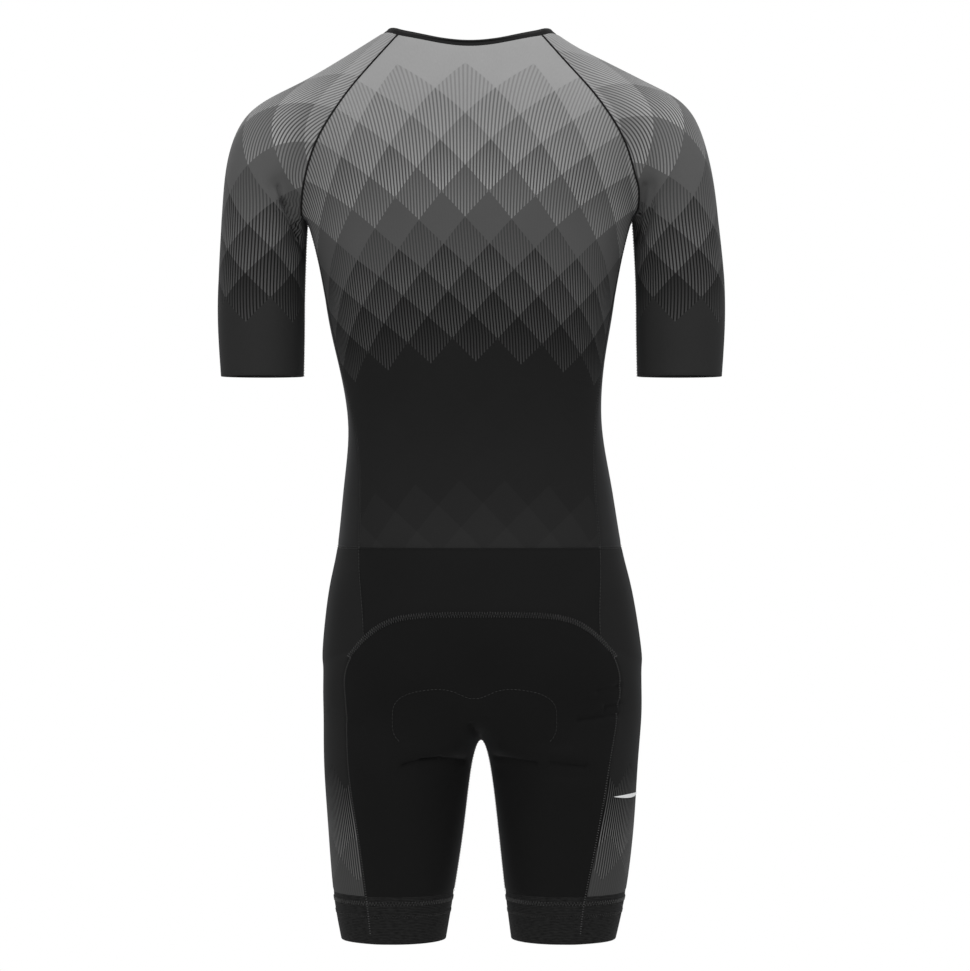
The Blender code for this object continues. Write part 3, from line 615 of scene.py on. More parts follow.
def suit_surface(level):
    """The smooth surface of the whole suit, subdivided this many times."""
    cage = Cage()
    for side in (1, -1):
        for build in (upper_body, sleeve, lower_body, leg):
            build(cage, side)
    names = sorted(set(cage.panels))
    mesh = bpy.data.meshes.new("cage")
    mesh.from_pydata(solved(np.array(cage.points), cage.faces).tolist(), [], cage.faces)
    mesh.polygons.foreach_set("material_index", [names.index(p) for p in cage.panels])
    place = mesh.uv_layers.new(name="place")
    place.data.foreach_set("uv", np.array(cage.places, float).ravel())
    obj = placed("cage", mesh)
    smooth = obj.modifiers.new("smooth", "SUBSURF")
    smooth.levels = smooth.render_levels = level
    smooth.uv_smooth = "NONE"
    fine = baked(obj)
    points = hung(values_of(fine.vertices, "co", 3))
    faces = values_of(fine.loops, "vertex_index", 1, int).reshape(-1, 4)
    panels = np.array(names)[values_of(fine.polygons, "material_index", 1, int)[:, 0]]
    places = values_of(fine.uv_layers["place"].data, "uv", 2).reshape(-1, 4, 2)
    bpy.data.objects.remove(obj)
    bpy.data.meshes.remove(mesh)
    bpy.data.meshes.remove(fine)
    points = drawn_in(points, normals_of(points, faces))
    uncreased = folded(points, normals_of(points, faces), FOLDS)
    points = folded(uncreased, normals_of(uncreased, faces), CREASES)
    (a, b), (c, d) = (places[:, 2] - places[:, 0]).T, (places[:, 3] - places[:, 1]).T
    sides = np.sign(a * d - b * c)
    face, corner = open_edges(faces)
    hems = pair_keys(faces[face, corner], faces[face, (corner + 1) % 4])
    on_zip = np.zeros(len(points), bool)
    on_zip[faces[(places[..., 0] == CENTRE_FRONT) & (places[..., 1] <= WAIST_ROW)]] = True
    normals = normals_of(points, faces)
    return Surface(points, normals, faces, panels, places, sides, hems, on_zip, uncreased)


CALM, FINE = 3, 4  # subdivisions of the panels without and with creases
CREASED = ("sleeve", "seat_panel", "front_lower", "thigh_side")
calm, fine = suit_surface(CALM), suit_surface(FINE)
print("surface:", len(calm.faces), "and", len(fine.faces), "quads")

# %% Lines on the surface, by columns and rows
STEP = 2**CALM  # points of the calm surface to a column or a row


def keyed(sides, columns, rows):
    """One number for each place on the suit."""
    columns, rows = np.rint(columns * STEP).astype(int), np.rint(rows * STEP).astype(int)
    return (sides > 0) * 10_000_000 + columns * 1000 + rows


corner_keys = keyed(np.repeat(calm.sides, 4), *calm.places.reshape(-1, 2).T)
known_keys, first_corners = np.unique(corner_keys, return_index=True)


def seam_line(stops):
    """The points of the calm surface from stop to stop, and their normals."""
    ids = []
    for start, end in zip(stops, stops[1:]):
        steps = round(max(abs(end[1] - start[1]), abs(end[2] - start[2])) * STEP)
        columns, rows = np.linspace(start[1:], end[1:], steps + 1).T
        sides = np.full(steps + 1, end[0] if start[1] in (0, INSEAM) else start[0])
        found = np.searchsorted(known_keys, keyed(sides, columns, rows))
        ids.extend(calm.faces.ravel()[first_corners[found]][1 if ids else 0 :])
    return calm.points[ids], calm.normals[ids]


# %% [markdown]
# The seat's arched seam turns a corner of the grid where it meets the side seam, and a grid has
# no smooth way round a corner. On the real suit it is one sweep of the cutter. So the seam is
# smoothed as a line, and the cloth beside it goes along, less and less with distance.

# %% Easing the seat seam
EASE, EASE_REACH, EASE_END = 0.024, 0.026, 0.040
STILL = 0.0001  # a shift less than this leaves the cloth alone


def eased(surface, line, shift):
    """The surface with the points near the line moved along with it, within the surface."""
    known = KDTree(len(line))
    for k, point in enumerate(line):
        known.insert(point, k)
    known.balance()
    moving = line[np.linalg.norm(shift, axis=1) > STILL]
    low, high = moving.min(axis=0) - 2 * EASE_REACH, moving.max(axis=0) + 2 * EASE_REACH
    points = surface.points.copy()
    for v in np.flatnonzero(((points > low) & (points < high)).all(axis=1)):
        _, nearest, away = known.find(points[v])
        move = shift[nearest] * np.exp(-((away / EASE_REACH) ** 2))
        points[v] += move - surface.normals[v] * (surface.normals[v] @ move)
    return surface._replace(points=points, normals=normals_of(points, surface.faces))


ARCH = ((SEAM_BACK, GRIPPER_ROW), (SEAM_BACK, SEAT_ROW), (0, SEAT_ROW))
arch_line, _ = seam_line([(1, *stop) for stop in ARCH] + [(-1, *stop) for stop in ARCH[::-1]])
along = lengths_along(arch_line)
weights = np.exp(-(((along[:, None] - along) / EASE) ** 2)) * np.gradient(along)
shift = weights @ arch_line / weights.sum(axis=1)[:, None] - arch_line
shift *= np.clip(np.minimum(along, along[-1] - along) / EASE_END, 0, 1)[:, None]
calm, fine = (eased(surface, arch_line, shift) for surface in (calm, fine))
print(f"seat seam: {along[-1] * 1000:.0f} mm, moved {np.abs(shift).max() * 1000:.1f} mm at most")


# %% [markdown]
# ## Lying cloth flat: how far across and down the panel
#
# A print, a rib or a knit has a real scale, so every panel needs coordinates in metres. They are
# measured on the panel itself: across is the length along a row from the panel's middle line,
# and down is the length of that line.

# %% Cloth coordinates
MIDDLES = {  # the column of a panel's middle line, by how its name starts
    "back_panel": 0,
    "seat": 0,
    "neck_binding": 0,
    "front": CENTRE_FRONT,
    "side_panel": SIDE,
    "thigh_side": SIDE,
    "gripper": SIDE,
    "sleeve": SLEEVE_COLUMNS + CAP // 2,
}
PLACE_STEPS = 2**FINE  # a place is a multiple of one over this
LINE = 10_000  # between the keys of two rows, more than any column in steps


def named(table, name):
    """The table's value for the panels whose names start like this one's."""
    return next(value for key, value in table.items() if name.startswith(key))


def unrolled_columns(name, places):
    """The columns of a panel's faces, so that a tube is open on its hidden inner side."""
    columns = places[..., 0].copy()
    middle = columns.mean(axis=1)
    if name.startswith("sleeve"):
        columns[middle > SLEEVE_COLUMNS + CAP + UNDERARM // 2] -= SLEEVE_RING
    elif name.startswith(("seat", "gripper")):
        columns[middle > INSEAM] -= LEG_RING
    elif name == "neck_binding":
        front = (middle > SEAM_FRONT) & (middle < SLEEVE_COLUMNS)
        columns[front] += CAP - (SEAM_FRONT - SEAM_BACK)
        columns[middle > SLEEVE_COLUMNS] -= SLEEVE_COLUMNS - SEAM_BACK
    return columns


def cloth_coordinates(surface, name):
    """Metres across and down the cloth, for each corner of the panel's faces."""
    mine = surface.panels == name
    columns = np.rint(unrolled_columns(name, surface.places[mine]).ravel() * PLACE_STEPS)
    rows = np.rint(surface.places[mine][..., 1].ravel() * PLACE_STEPS)
    sides = np.repeat(surface.sides[mine], 4)
    keys = (((sides + 1) * LINE + rows) * LINE + columns + LINE // 10).astype(int)
    known, first, back = np.unique(keys, return_index=True, return_inverse=True)
    points = surface.uncreased[surface.faces[mine].ravel()[first]]
    lines = known // LINE
    along = lengths_along(points)
    line, of_line = np.unique(lines, return_inverse=True)
    middle = named(MIDDLES, name) * PLACE_STEPS + LINE // 10
    zero = np.minimum(np.searchsorted(known, line * LINE + middle), len(known) - 1)
    across = (along - along[zero][of_line])[back] * sides
    down = lengths_along(points[zero])
    for half in np.unique(line // LINE):
        down[line // LINE == half] -= down[line // LINE == half][0]
    return np.stack([across, down[of_line][back]], axis=1).reshape(-1, 4, 2)


# %% [markdown]
# ## Panels as thin walls
#
# A cloth edge is never a sharp block. Each panel becomes a closed wall whose hems are rounded
# over, whose seam edges are drawn in a little where the sewing pulls them, and whose inner side
# has its own finish, because a print shows on the face of the cloth only.

# %% Walls
ROUND = np.radians([45, 90, 135])  # places of the loops round a hem
SEAM_ROUND = 0.00005  # how far a sewn edge bulges
CORNER = 0.3  # two edges that meet almost in line count as one
SHARP = radians(62)


def unit(ways):
    return ways / np.linalg.norm(ways, axis=1)[:, None]


def wall(name, points, normals, faces, layers, thickness, materials, gaps=0, hems=True, dip=0):
    """A closed wall on this side of the cloth. Layers are coordinates by name.

    Each open edge is drawn back by its gap. It is a hem, or sewn and drawn in by the dip.
    """
    face, corner = open_edges(faces)
    ahead = (corner + 1) % 4
    a, b = faces[face, corner], faces[face, ahead]
    gaps, hems = np.broadcast_to(gaps, len(a)), np.broadcast_to(hems, len(a))
    inward = unit(np.cross(normals[a] + normals[b], points[b] - points[a]))
    leaving, coming = np.argsort(a), np.argsort(b)
    edge = a[leaving]
    pairs = np.stack([inward[leaving], inward[coming]], axis=1)
    wanted = np.stack([gaps[leaving], gaps[coming]], axis=1)
    shift = np.einsum("vij,vj->vi", np.linalg.pinv(pairs, rcond=CORNER), wanted)
    way = unit(pairs.sum(axis=1))
    hemmed, sewn = hems[leaving] & hems[coming], ~hems[leaving] & ~hems[coming]
    outer = points.copy()
    outer[edge] += shift - normals[edge] * (sewn * dip)[:, None]
    inner = outer - normals * thickness
    count, rim = len(outer), len(edge)
    bulge = np.where(hemmed, thickness / 2, SEAM_ROUND)[:, None]
    middle = (outer[edge] + inner[edge]) / 2
    loops = [
        middle + normals[edge] * (thickness / 2 * cos(turn)) - way * bulge * sin(turn)
        for turn in ROUND
    ]
    rank = np.zeros(count, int)
    rank[edge] = np.arange(rim)
    chain = [np.stack([b, a], axis=1)]
    chain += [2 * count + k * rim + rank[chain[0]] for k in range(len(ROUND))]
    chain.append(chain[0] + count)
    rims = [np.hstack([up, low[:, ::-1]]) for up, low in zip(chain, chain[1:])]
    cells = np.vstack([faces, faces[:, ::-1] + count, *rims])
    mesh = bpy.data.meshes.new(name)
    mesh.from_pydata(np.vstack([outer, inner, *loops]).tolist(), [], cells.tolist())
    for layer, values in layers.items():
        ends = np.stack([values[face, ahead], values[face, corner]], axis=1)
        ends = np.concatenate([ends, ends[:, ::-1]], axis=1)
        both = np.concatenate([values, values[:, ::-1], *[ends] * len(rims)])
        mesh.uv_layers.new(name=layer).data.foreach_set("uv", both.ravel())
    for material in materials:
        mesh.materials.append(material)
    slots = np.zeros(len(cells), int)
    slots[len(faces) : 2 * len(faces)] = len(materials) - 1
    mesh.polygons.foreach_set("material_index", slots)
    mesh.shade_smooth()
    mesh.set_sharp_from_angle(angle=SHARP)
    mesh.validate()
    return placed(name, mesh)


# %% Drawing the cloth back to the zip's edges
AT_ZIP = ("neck_binding", "front_left", "front_right")
ZIP_REACH = 2  # columns over which the cloth beside the zip is evened out


def beside_zip(points, normals, faces, places, sides):
    """Moves the points near the centre line along their rows, clear of the zip's opening."""
    columns, rows = places.reshape(-1, 2).T
    near = (columns >= CENTRE_FRONT - ZIP_REACH) & (columns <= CENTRE_FRONT)
    halves = np.repeat(sides, 4)
    for half, row in np.unique(np.stack([halves, rows])[:, near], axis=1).T:
        mine = near & (halves == half) & (rows == row)
        line = faces.ravel()[mine][np.unique(-columns[mine], return_index=True)[1]]
        along = lengths_along(points[line])
        moved = ZIP_OPENING / 2 + along * (1 - ZIP_OPENING / 2 / along[-1])
        for values in (points, normals):
            values[line] = np.stack([np.interp(moved, along, v) for v in values[line].T], axis=1)
        normals[line] = unit(normals[line])


def cut_panel(surface, name, layers, thickness, materials):
    """One panel of the surface as a wall, drawn back at its seams and at the zip."""
    mine = surface.panels == name
    corners, total = surface.faces[mine], len(surface.points)
    right = (surface.sides[mine] < 0)[:, None]
    # The binding crosses the zip, so its right half gets its own copy of the centre line.
    split = surface.on_zip[corners] & right & (name in AT_ZIP)
    old, faces = np.unique(corners + total * split, return_inverse=True)
    faces, old = faces.reshape(-1, 4), old % total
    face, corner = open_edges(faces)
    a, b = old[faces[face, corner]], old[faces[face, (corner + 1) % 4]]
    free = np.isin(pair_keys(a, b), surface.hems)
    free |= surface.on_zip[a] & surface.on_zip[b] & (name in AT_ZIP)
    points, normals = surface.points[old], surface.normals[old]
    if name in AT_ZIP:
        beside_zip(points, normals, faces, surface.places[mine], surface.sides[mine])
    gaps = np.where(free, 0.0, SEAM_GAP / 2)
    sizes = (layers, thickness, materials, gaps, free, SEAM_DIP)
    return wall(f"{name}_cloth", points, normals, faces, *sizes)


# %% [markdown]
# ## Knitted cloth
#
# The panels are warp-knitted polyester and elastane, dyed or heat-printed. Such cloth is matt,
# with a faint sheen where it is seen at a low angle, and its surface is a grain of stitches
# that run down the panel. The real stitches are about 0.3 mm apart, too fine to show, so the
# grain is drawn three times as coarse.

# %% A knit's surface
GRAIN_ACROSS, GRAIN_DOWN, GRAIN_DEPTH = 0.0010, 0.0032, 0.00006  # metres
MOTTLE, MOTTLE_SIZE = 0.05, 0.05  # the slow change in tone that dye and stretch give
KNIT_IOR, SHEEN, SPECULAR = 1.45, 0.05, 0.035


def knit(name, roughness, dye, sheen=SHEEN, specular=SPECULAR, layer="cloth"):
    """A knitted cloth. dye is a hex colour, or a function that adds a print's nodes."""
    values = {
        "Roughness": roughness,
        "IOR": KNIT_IOR,
        "Specular IOR Level": specular,
        "Sheen Weight": sheen,
        "Sheen Roughness": 0.45,
        "Sheen Tint": linear("#B8BABF"),
    }
    material, shader = new_material(name, values)
    tree = material.node_tree
    cloth = add_node(tree, "ShaderNodeUVMap", uv_map=layer)
    place = add_node(tree, "ShaderNodeSeparateXYZ", {"Vector": cloth}).node.outputs
    colour = dye(tree, place["X"], place["Y"]) if callable(dye) else linear(dye)[:3]
    links = {"Vector": cloth, "Scale": (1 / GRAIN_ACROSS, 1 / GRAIN_DOWN, 1)}
    stretched = add_node(tree, "ShaderNodeMapping", links)
    links = {"Vector": stretched, "Scale": 1.0, "Detail": 2.0}
    grain = add_node(tree, "ShaderNodeTexNoise", links)
    links = {"Height": grain, "Strength": 0.5, "Distance": GRAIN_DEPTH}
    bump = add_node(tree, "ShaderNodeBump", links)
    spots = add_node(tree, "ShaderNodeTexCoord", out="Object")
    links = {"Vector": spots, "Scale": 1 / MOTTLE_SIZE, "Detail": 3.0}
    slow = add_node(tree, "ShaderNodeTexNoise", links)
    both = add_node(tree, "ShaderNodeMath", {0: slow, 1: grain}, operation="ADD")
    links = {"From Min": 0.6, "From Max": 1.4, "To Min": 1 - MOTTLE, "To Max": 1 + MOTTLE}
    shade = add_node(tree, "ShaderNodeMapRange", {"Value": both, **links})
    links = {0: colour, 1: shade}
    toned = add_node(tree, "ShaderNodeVectorMath", links, operation="MULTIPLY")
    fill(shader, {"Base Color": toned, "Normal": bump})
    return material


# %% [markdown]
# ## The print
#
# The print is the old harlequin repeat: rows of diamonds, each filled with upright pinstripes.
# It fades down the suit. At the neck the diamonds are plain and light, then dark stripes grow in
# them row by row, one row is a solid grey, and below it light stripes fade out on near black.
# A sublimation print lies in the cloth, so it changes the colour and not the surface.

# %% The harlequin repeat as a node group
DIAMOND = 0.049  # width and height of a diamond
STRIPES = 15  # in the width of a diamond
SOFT = 0.05  # of a stripe's edge, as a share of the pitch

harlequin = bpy.data.node_groups.new("harlequin", "ShaderNodeTree")
SOCKETS = {"INPUT": ("Across", "Down", "Light stripe"), "OUTPUT": ("Row", "Fall", "Dark stripe")}
for in_out, names in SOCKETS.items():
    for name in names:
        harlequin.interface.new_socket(name, in_out=in_out, socket_type="NodeSocketFloat")
across, down, light = add_node(harlequin, "NodeGroupInput").node.outputs[:3]
cells = []
for operation in ("ADD", "SUBTRACT"):
    slope = add_node(harlequin, "ShaderNodeMath", {0: across, 1: down}, operation=operation)
    cell = add_node(harlequin, "ShaderNodeMath", {0: slope, 1: DIAMOND}, operation="DIVIDE")
    cells.append(add_node(harlequin, "ShaderNodeMath", {0: cell}, operation="FLOOR"))
row = add_node(harlequin, "ShaderNodeMath", {0: cells[0], 1: cells[1]}, operation="SUBTRACT")
# A diamond's head is at one row less than its own, and its foot at one row more.
halves = add_node(harlequin, "ShaderNodeMath", {0: down, 1: 2 / DIAMOND}, operation="MULTIPLY")
inside = add_node(harlequin, "ShaderNodeMath", {0: halves, 1: row}, operation="SUBTRACT")
fall = add_node(harlequin, "ShaderNodeMapRange", {"Value": inside, "From Min": -1.0})
links = {0: across, 1: STRIPES / DIAMOND}
count = add_node(harlequin, "ShaderNodeMath", links, operation="MULTIPLY")
wave = add_node(harlequin, "ShaderNodeMath", {0: count, 1: 0.5}, operation="PINGPONG")
# The light stripe's half width is a share of the pitch, and its edge is a little soft.
edges = [add_node(harlequin, "ShaderNodeMath", {0: light, 1: soft}) for soft in (-SOFT, SOFT)]
links = {"Value": wave, "From Min": edges[0], "From Max": edges[1]}
stripe = add_node(harlequin, "ShaderNodeMapRange", links, interpolation_type="SMOOTHSTEP")
add_node(harlequin, "NodeGroupOutput", {"Row": row, "Fall": fall, "Dark stripe": stripe})


def printed(tones, tail=(), lift=0.0, width=0.28):
    """Adds the print. Tones are stops by row of diamonds, and the tail's are plain cloth.

    They are for the dark stripes, and for the light ones at a diamond's head and foot. Lift
    is painted light: how much lighter the lower rows are, but not the first two. Width is half
    the light stripes' width, as a share of the pitch.
    """
    last = max(row for stops in (*tones, tail) for row, _ in stops)

    def colour(tree, across, down):
        links = {"Across": across, "Down": down, "Light stripe": width}
        pattern = add_node(tree, "ShaderNodeGroup", links, node_tree=harlequin).node.outputs
        links = {0: pattern["Row"], 1: last}
        share = add_node(tree, "ShaderNodeMath", links, operation="DIVIDE")
        ramps = []
        for stops in tones:
            ramps.append(add_node(tree, "ShaderNodeValToRGB", {"Fac": share}))
            elements = ramps[-1].node.color_ramp.elements
            elements.remove(elements[1])
            for row, code in (*stops, *tail):
                # Painted light: the lift makes the lower rows lighter than the print's own tones.
                painted_light_gain = 1 if (row, code) in tail else 1 + lift * np.interp(row, (1, 3), (-0.15, 1))
                stop = elements.new(row / last) if row else elements[0]
                stop.color = (*(value * painted_light_gain for value in linear(code)[:3]), 1)
        dark, head, foot = ramps
        links = {"Factor": pattern["Fall"], 6: head, 7: foot}
        light = add_node(tree, "ShaderNodeMix", links, out=2, data_type="RGBA")
        links = {"Factor": pattern["Dark stripe"], 6: light, 7: dark}
        return add_node(tree, "ShaderNodeMix", links, out=2, data_type="RGBA")

    return colour


# %% Where the print lies on a panel
BACK_DROP = 1.1  # how much lower the rows lie at the sides, for each square metre
BACK_NECK = (0.030, 0.150)  # but less so between these depths below the neck
BACK_WIDTH = 0.0463  # of a diamond low on the back
BACK_FAN, FAN_Z, FAN_DEEP = 0.0145, -0.062, 0.055  # wider near the neck, where they fan out
BACK_LEVELS = ((-0.02, -0.980), (0.031, 0), (0.219, 3.5), (0.340, 6), (0.550, 10.34))
BACK_MIDDLE = ((-0.315, -0.200), (-0.005, 0.0045))  # the middle stripe's x by level
BEND_X, BEND_Z, BEND = 0.114, -0.193, 0.102  # the sleeve's stripes turn round this point
SLEEVE_START, SLEEVE_SCALE, SLEEVE_WIDTH = 0.193, 0.97, 0.907
SLEEVE_SHIFT = {1: 0.063, -1: 0.086}
THIGH_START = 0.226


def print_on_back(cloth, points):
    """Rows that drop towards the sides, and stripes that fan out towards the neck."""
    drop = BACK_DROP * np.interp(-points[..., 2], BACK_NECK, (0.1, 1)) * cloth[..., 0] ** 2
    level = points[..., 2] + drop
    width = BACK_WIDTH + BACK_FAN * np.exp((level - FAN_Z) / FAN_DEEP)
    across = (cloth[..., 0] - np.interp(level, *BACK_MIDDLE)) / width
    return np.stack([across, np.interp(-level, *zip(*BACK_LEVELS))], axis=-1) * DIAMOND


def print_on_sleeve(cloth, points):
    """Stripes that run down the arm and turn with it over the shoulder."""
    side = np.sign(points[..., 0].mean())
    above = points[..., 2] - BEND_Z
    turn = np.arctan2(above.clip(0), points[..., 0] * side - BEND_X)
    across = (-cloth[..., 0] * side - SLEEVE_SHIFT[side]) * SLEEVE_WIDTH
    return np.stack([across, SLEEVE_START + ((-above).clip(0) - BEND * turn) * SLEEVE_SCALE], axis=-1)


def print_on_thigh(cloth, points):
    """Rows that follow the cloth."""
    return cloth - (0, THIGH_START)


# %% Cloth materials
UPPER_TONES = (
    (
        (0, "#8D8D8D"), (2, "#5F5F5F"), (4, "#404040"), (6, "#4E4E4E"),
        (8, "#1F1F1F"), (10, "#121212"), (11, "#151515"),
    ),
    ((0, "#8D8D8D"), (2, "#828282"), (4, "#616161"), (6, "#4E4E4E"), (8, "#3E3E3E"), (11, "#222222")),
    ((0, "#8D8D8D"), (4, "#929292"), (6, "#4E4E4E"), (8, "#5F5F5F"), (11, "#3A3A3A")),
)
BACK_TAIL, SLEEVE_TAIL = ((12, "#1F1F1F"), (17, "#202020"), (20, "#282828")), ((12, "#2D2D2D"),)
THIGH_TONES = (
    ((0, "#202020"), (1, "#0E0E0E"), (3, "#101010"), (5, "#3C3C3C")),
    ((0, "#202020"), (1, "#262626"), (2, "#3B3B3B"), (3.4, "#5B5B5B"), (5, "#434343")),
    ((0, "#202020"), (1, "#545454"), (3, "#747474"), (5, "#434343")),
)

back_knit = knit("printed_back_knit", 0.78, printed(UPPER_TONES, BACK_TAIL), layer="print")
# The sleeves take a copy of the back's print that is lighter from the third row down, as painted
# light on the hanging sleeves.
sleeve_print_with_painted_light = printed(UPPER_TONES, SLEEVE_TAIL, lift=0.30)
sleeve_knit = knit("printed_sleeve_knit", 0.78, sleeve_print_with_painted_light, layer="print")
thigh_knit = knit("printed_thigh_knit", 0.74, printed(THIGH_TONES, width=0.21), layer="print")
side_knit = knit("side_knit", 0.74, "#222222", sheen=0.14)
front_knit = knit("front_knit", 0.74, "#262626")
yoke_knit = knit("yoke_knit", 0.76, "#191919")
seat_knit = knit("dense_seat_knit", 0.70, "#161616", sheen=0.06)
lower_knit = knit("lower_front_knit", 0.74, "#1C1C1C")
binding_knit = knit("binding_knit", 0.80, "#1F1F1F")
gripper_knit = knit("ribbed_gripper_knit", 0.80, "#1B1B1B")
inside_knit = knit("inside_of_the_knit", 0.85, "#2E2E2E")
print("cloth materials:", len([m for m in bpy.data.materials if "knit" in m.name]))

# %% Ribs of the grippers' elastic, a little coarser than the real 1 mm
RIB, RIB_DEPTH, RIB_LENGTH = 0.0017, 0.0004, 0.006

tree = gripper_knit.node_tree
shader = tree.nodes["Principled BSDF"]
cloth = add_node(tree, "ShaderNodeUVMap", uv_map="cloth")
down = add_node(tree, "ShaderNodeSeparateXYZ", {"Vector": cloth}, out="Y")
count = add_node(tree, "ShaderNodeMath", {0: down, 1: 1 / RIB}, operation="MULTIPLY")
rib = add_node(tree, "ShaderNodeMath", {0: count, 1: 0.5}, operation="PINGPONG")
grain = tree.nodes["Bump"].outputs[0]
links = {"Height": rib, "Strength": 0.8, "Distance": RIB_DEPTH, "Normal": grain}
bump = add_node(tree, "ShaderNodeBump", links)
links = {"Vector": cloth, "Scale": (1 / RIB_LENGTH, 1 / RIB, 1)}
worn = add_node(tree, "ShaderNodeMapping", links)
spots = add_node(tree, "ShaderNodeTexNoise", {"Vector": worn, "Scale": 1.0, "Detail": 1.0})
# The rib's height also tones the colour. This is painted highlight on the crests and painted shade in
# the troughs, mixed with a random speckle along the ribs.
both = add_node(tree, "ShaderNodeMath", {0: rib, 1: spots}, operation="ADD")
links = {"Value": both, "From Min": 0.38, "From Max": 0.95, "To Min": 0.5, "To Max": 1.75}
tone = add_node(tree, "ShaderNodeMapRange", links)
links = {0: shader.inputs["Base Color"].links[0].from_socket, 1: tone}
ribbed = add_node(tree, "ShaderNodeVectorMath", links, operation="MULTIPLY")
fill(shader, {"Base Color": ribbed, "Normal": bump})

# %% [markdown]
# ## Cutting every panel
#
# A stretch panel is cut a little narrower than the body it goes round. What it measures here is
# its worn size, so its flat size is that size without the stretch.

# %% All cloth panels
Cut = namedtuple("Cut", "slot material thickness print_at", defaults=(CLOTH, None))
CUTS = {
    "back_panel": Cut("print_knit", back_knit, CLOTH, print_on_back),
    "sleeve": Cut("print_knit", sleeve_knit, CLOTH, print_on_sleeve),
    "thigh_side": Cut("thigh_knit", thigh_knit, CLOTH, print_on_thigh),
    "side_panel": Cut("plain_knit", side_knit),
    "front_lower": Cut("plain_knit", lower_knit),
    "front": Cut("plain_knit", front_knit),
    "seat_yoke": Cut("plain_knit", yoke_knit),
    "seat_panel": Cut("seat_knit", seat_knit),
    "neck_binding": Cut("binding", binding_knit, BAND),
    "gripper": Cut("gripper_knit", gripper_knit, BAND),
}


def declare(obj, node):
    """Hangs the panel on the suit's body and hides the frame's part that it stands for."""
    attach(obj, "suit")
    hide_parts(node)


panels = {}
for name in sorted(set(calm.panels)):
    surface, cut = fine if name.startswith(CREASED) else calm, named(CUTS, name)
    cloth = cloth_coordinates(surface, name)
    layers = {"cloth": cloth}
    if cut.print_at:
        at = surface.points[surface.faces[surface.panels == name]]
        layers["print"] = cut.print_at(cloth, at)
    both = (cut.material, inside_knit)
    panels[name] = cut_panel(surface, name, layers, cut.thickness, both)
    declare(panels[name], name)

# %% [markdown]
# ## Sewing
#
# Stretch seams are sewn flat so that they don't rub. A coverlock or flatlock machine lays two
# rows of needle stitches and a looper thread that runs to and fro between them, and the raglan
# seams are piped. All of it follows seam lines, so each kind of sewing is one node tree that
# turns a line on the cloth into thread. The line carries the cloth's outward direction.

# %% Seam lines, by columns and rows
Seam = namedtuple("Seam", "name kind slot stops")
ARCH_END = SEAT_ROW + 1  # the row below which the seat's seam is the leg's outer seam
UNDER_SEAM = SLEEVE_COLUMNS + CAP + UNDERARM // 2


def round_leg(row):
    return [(0, row), (LEG_RING, row)]


def down_column(column, top, end):
    return [(column, top), (column, end)]


# A stop is a side, a column and a row, or only a column and a row where both sides have the seam.
SEAM_TABLE = (
    Seam("seat_arch_seam", "arch", "seat_knit", [
        (1, SEAM_BACK, ARCH_END), (1, SEAM_BACK, SEAT_ROW), (1, 0, SEAT_ROW),
        (-1, SEAM_BACK, SEAT_ROW), (-1, SEAM_BACK, ARCH_END),
    ]),
    Seam("outer_leg_seam", "ladder", "seat_knit", down_column(SEAM_BACK, HEM_ROW - 0.25, ARCH_END)),
    Seam("inner_leg_seam", "flat", "seat_knit", [
        (1, INSEAM, GRIPPER_ROW), (1, INSEAM, CROTCH_ROW), (-1, INSEAM, GRIPPER_ROW),
    ]),
    Seam("waist_seam", "black flat", "plain_knit", [
        (1, CENTRE_FRONT, WAIST_ROW), (1, 0, WAIST_ROW), (-1, CENTRE_FRONT, WAIST_ROW),
    ]),
    Seam("side_waist_seam", "flat", "plain_knit", [(SEAM_BACK, WAIST_ROW), (SEAM_FRONT, WAIST_ROW)]),
    Seam("raglan_piping", "piping", "binding", [
        (SEAM_BACK, 1), (SEAM_BACK, ARMPIT), (SEAM_FRONT, ARMPIT), (SEAM_FRONT, 1),
    ]),
    Seam("rear_side_seam", "flat", "plain_knit", down_column(SEAM_BACK, ARMPIT, WAIST_ROW)),
    Seam("yoke_side_seam", "light row", "plain_knit", down_column(SEAM_BACK, WAIST_ROW, SEAT_ROW)),
    Seam("front_side_seam", "flat", "plain_knit", down_column(SEAM_FRONT, ARMPIT, GRIPPER_ROW)),
    Seam("sleeve_seam", "flat", "print_knit", down_column(UNDER_SEAM, ARMPIT, ARMPIT + len(SLEEVE))),
    Seam("gripper_top_stitching", "zigzag", "gripper_knit", round_leg(GRIPPER_ROW + 1 / STEP)),
    Seam("gripper_lower_stitching", "fine zigzag", "gripper_knit", round_leg(GRIPPER_ROW + 3 / STEP)),
)
SEAMS = []
for seam in SEAM_TABLE:
    if len(seam.stops[0]) == 3:
        SEAMS.append(seam)
        continue
    for side in (1, -1):
        stops = [(side, *stop) for stop in seam.stops[::side]]
        SEAMS.append(seam._replace(name=f"{seam.name}_{word(side)}", stops=stops))
print(len(SEAMS), "seams")


# %% Thread
def thread(name, code):
    """Twisted polyester sewing thread, satin along its length."""
    values = {"Roughness": 0.55, "Specular IOR Level": 0.1, "Sheen Weight": 0.1}
    material, shader = new_material(name, values)
    tree = material.node_tree
    place = add_node(tree, "ShaderNodeTexCoord", out="Object")
    twist = add_node(tree, "ShaderNodeTexNoise", {"Vector": place, "Scale": 1500.0, "Detail": 1.0})
    tone = add_node(tree, "ShaderNodeMapRange", {"Value": twist, "To Min": 0.7, "To Max": 1.3})
    links = {0: linear(code)[:3], 1: tone}
    dyed = add_node(tree, "ShaderNodeVectorMath", links, operation="MULTIPLY")
    fill(shader, {"Base Color": dyed})
    return material


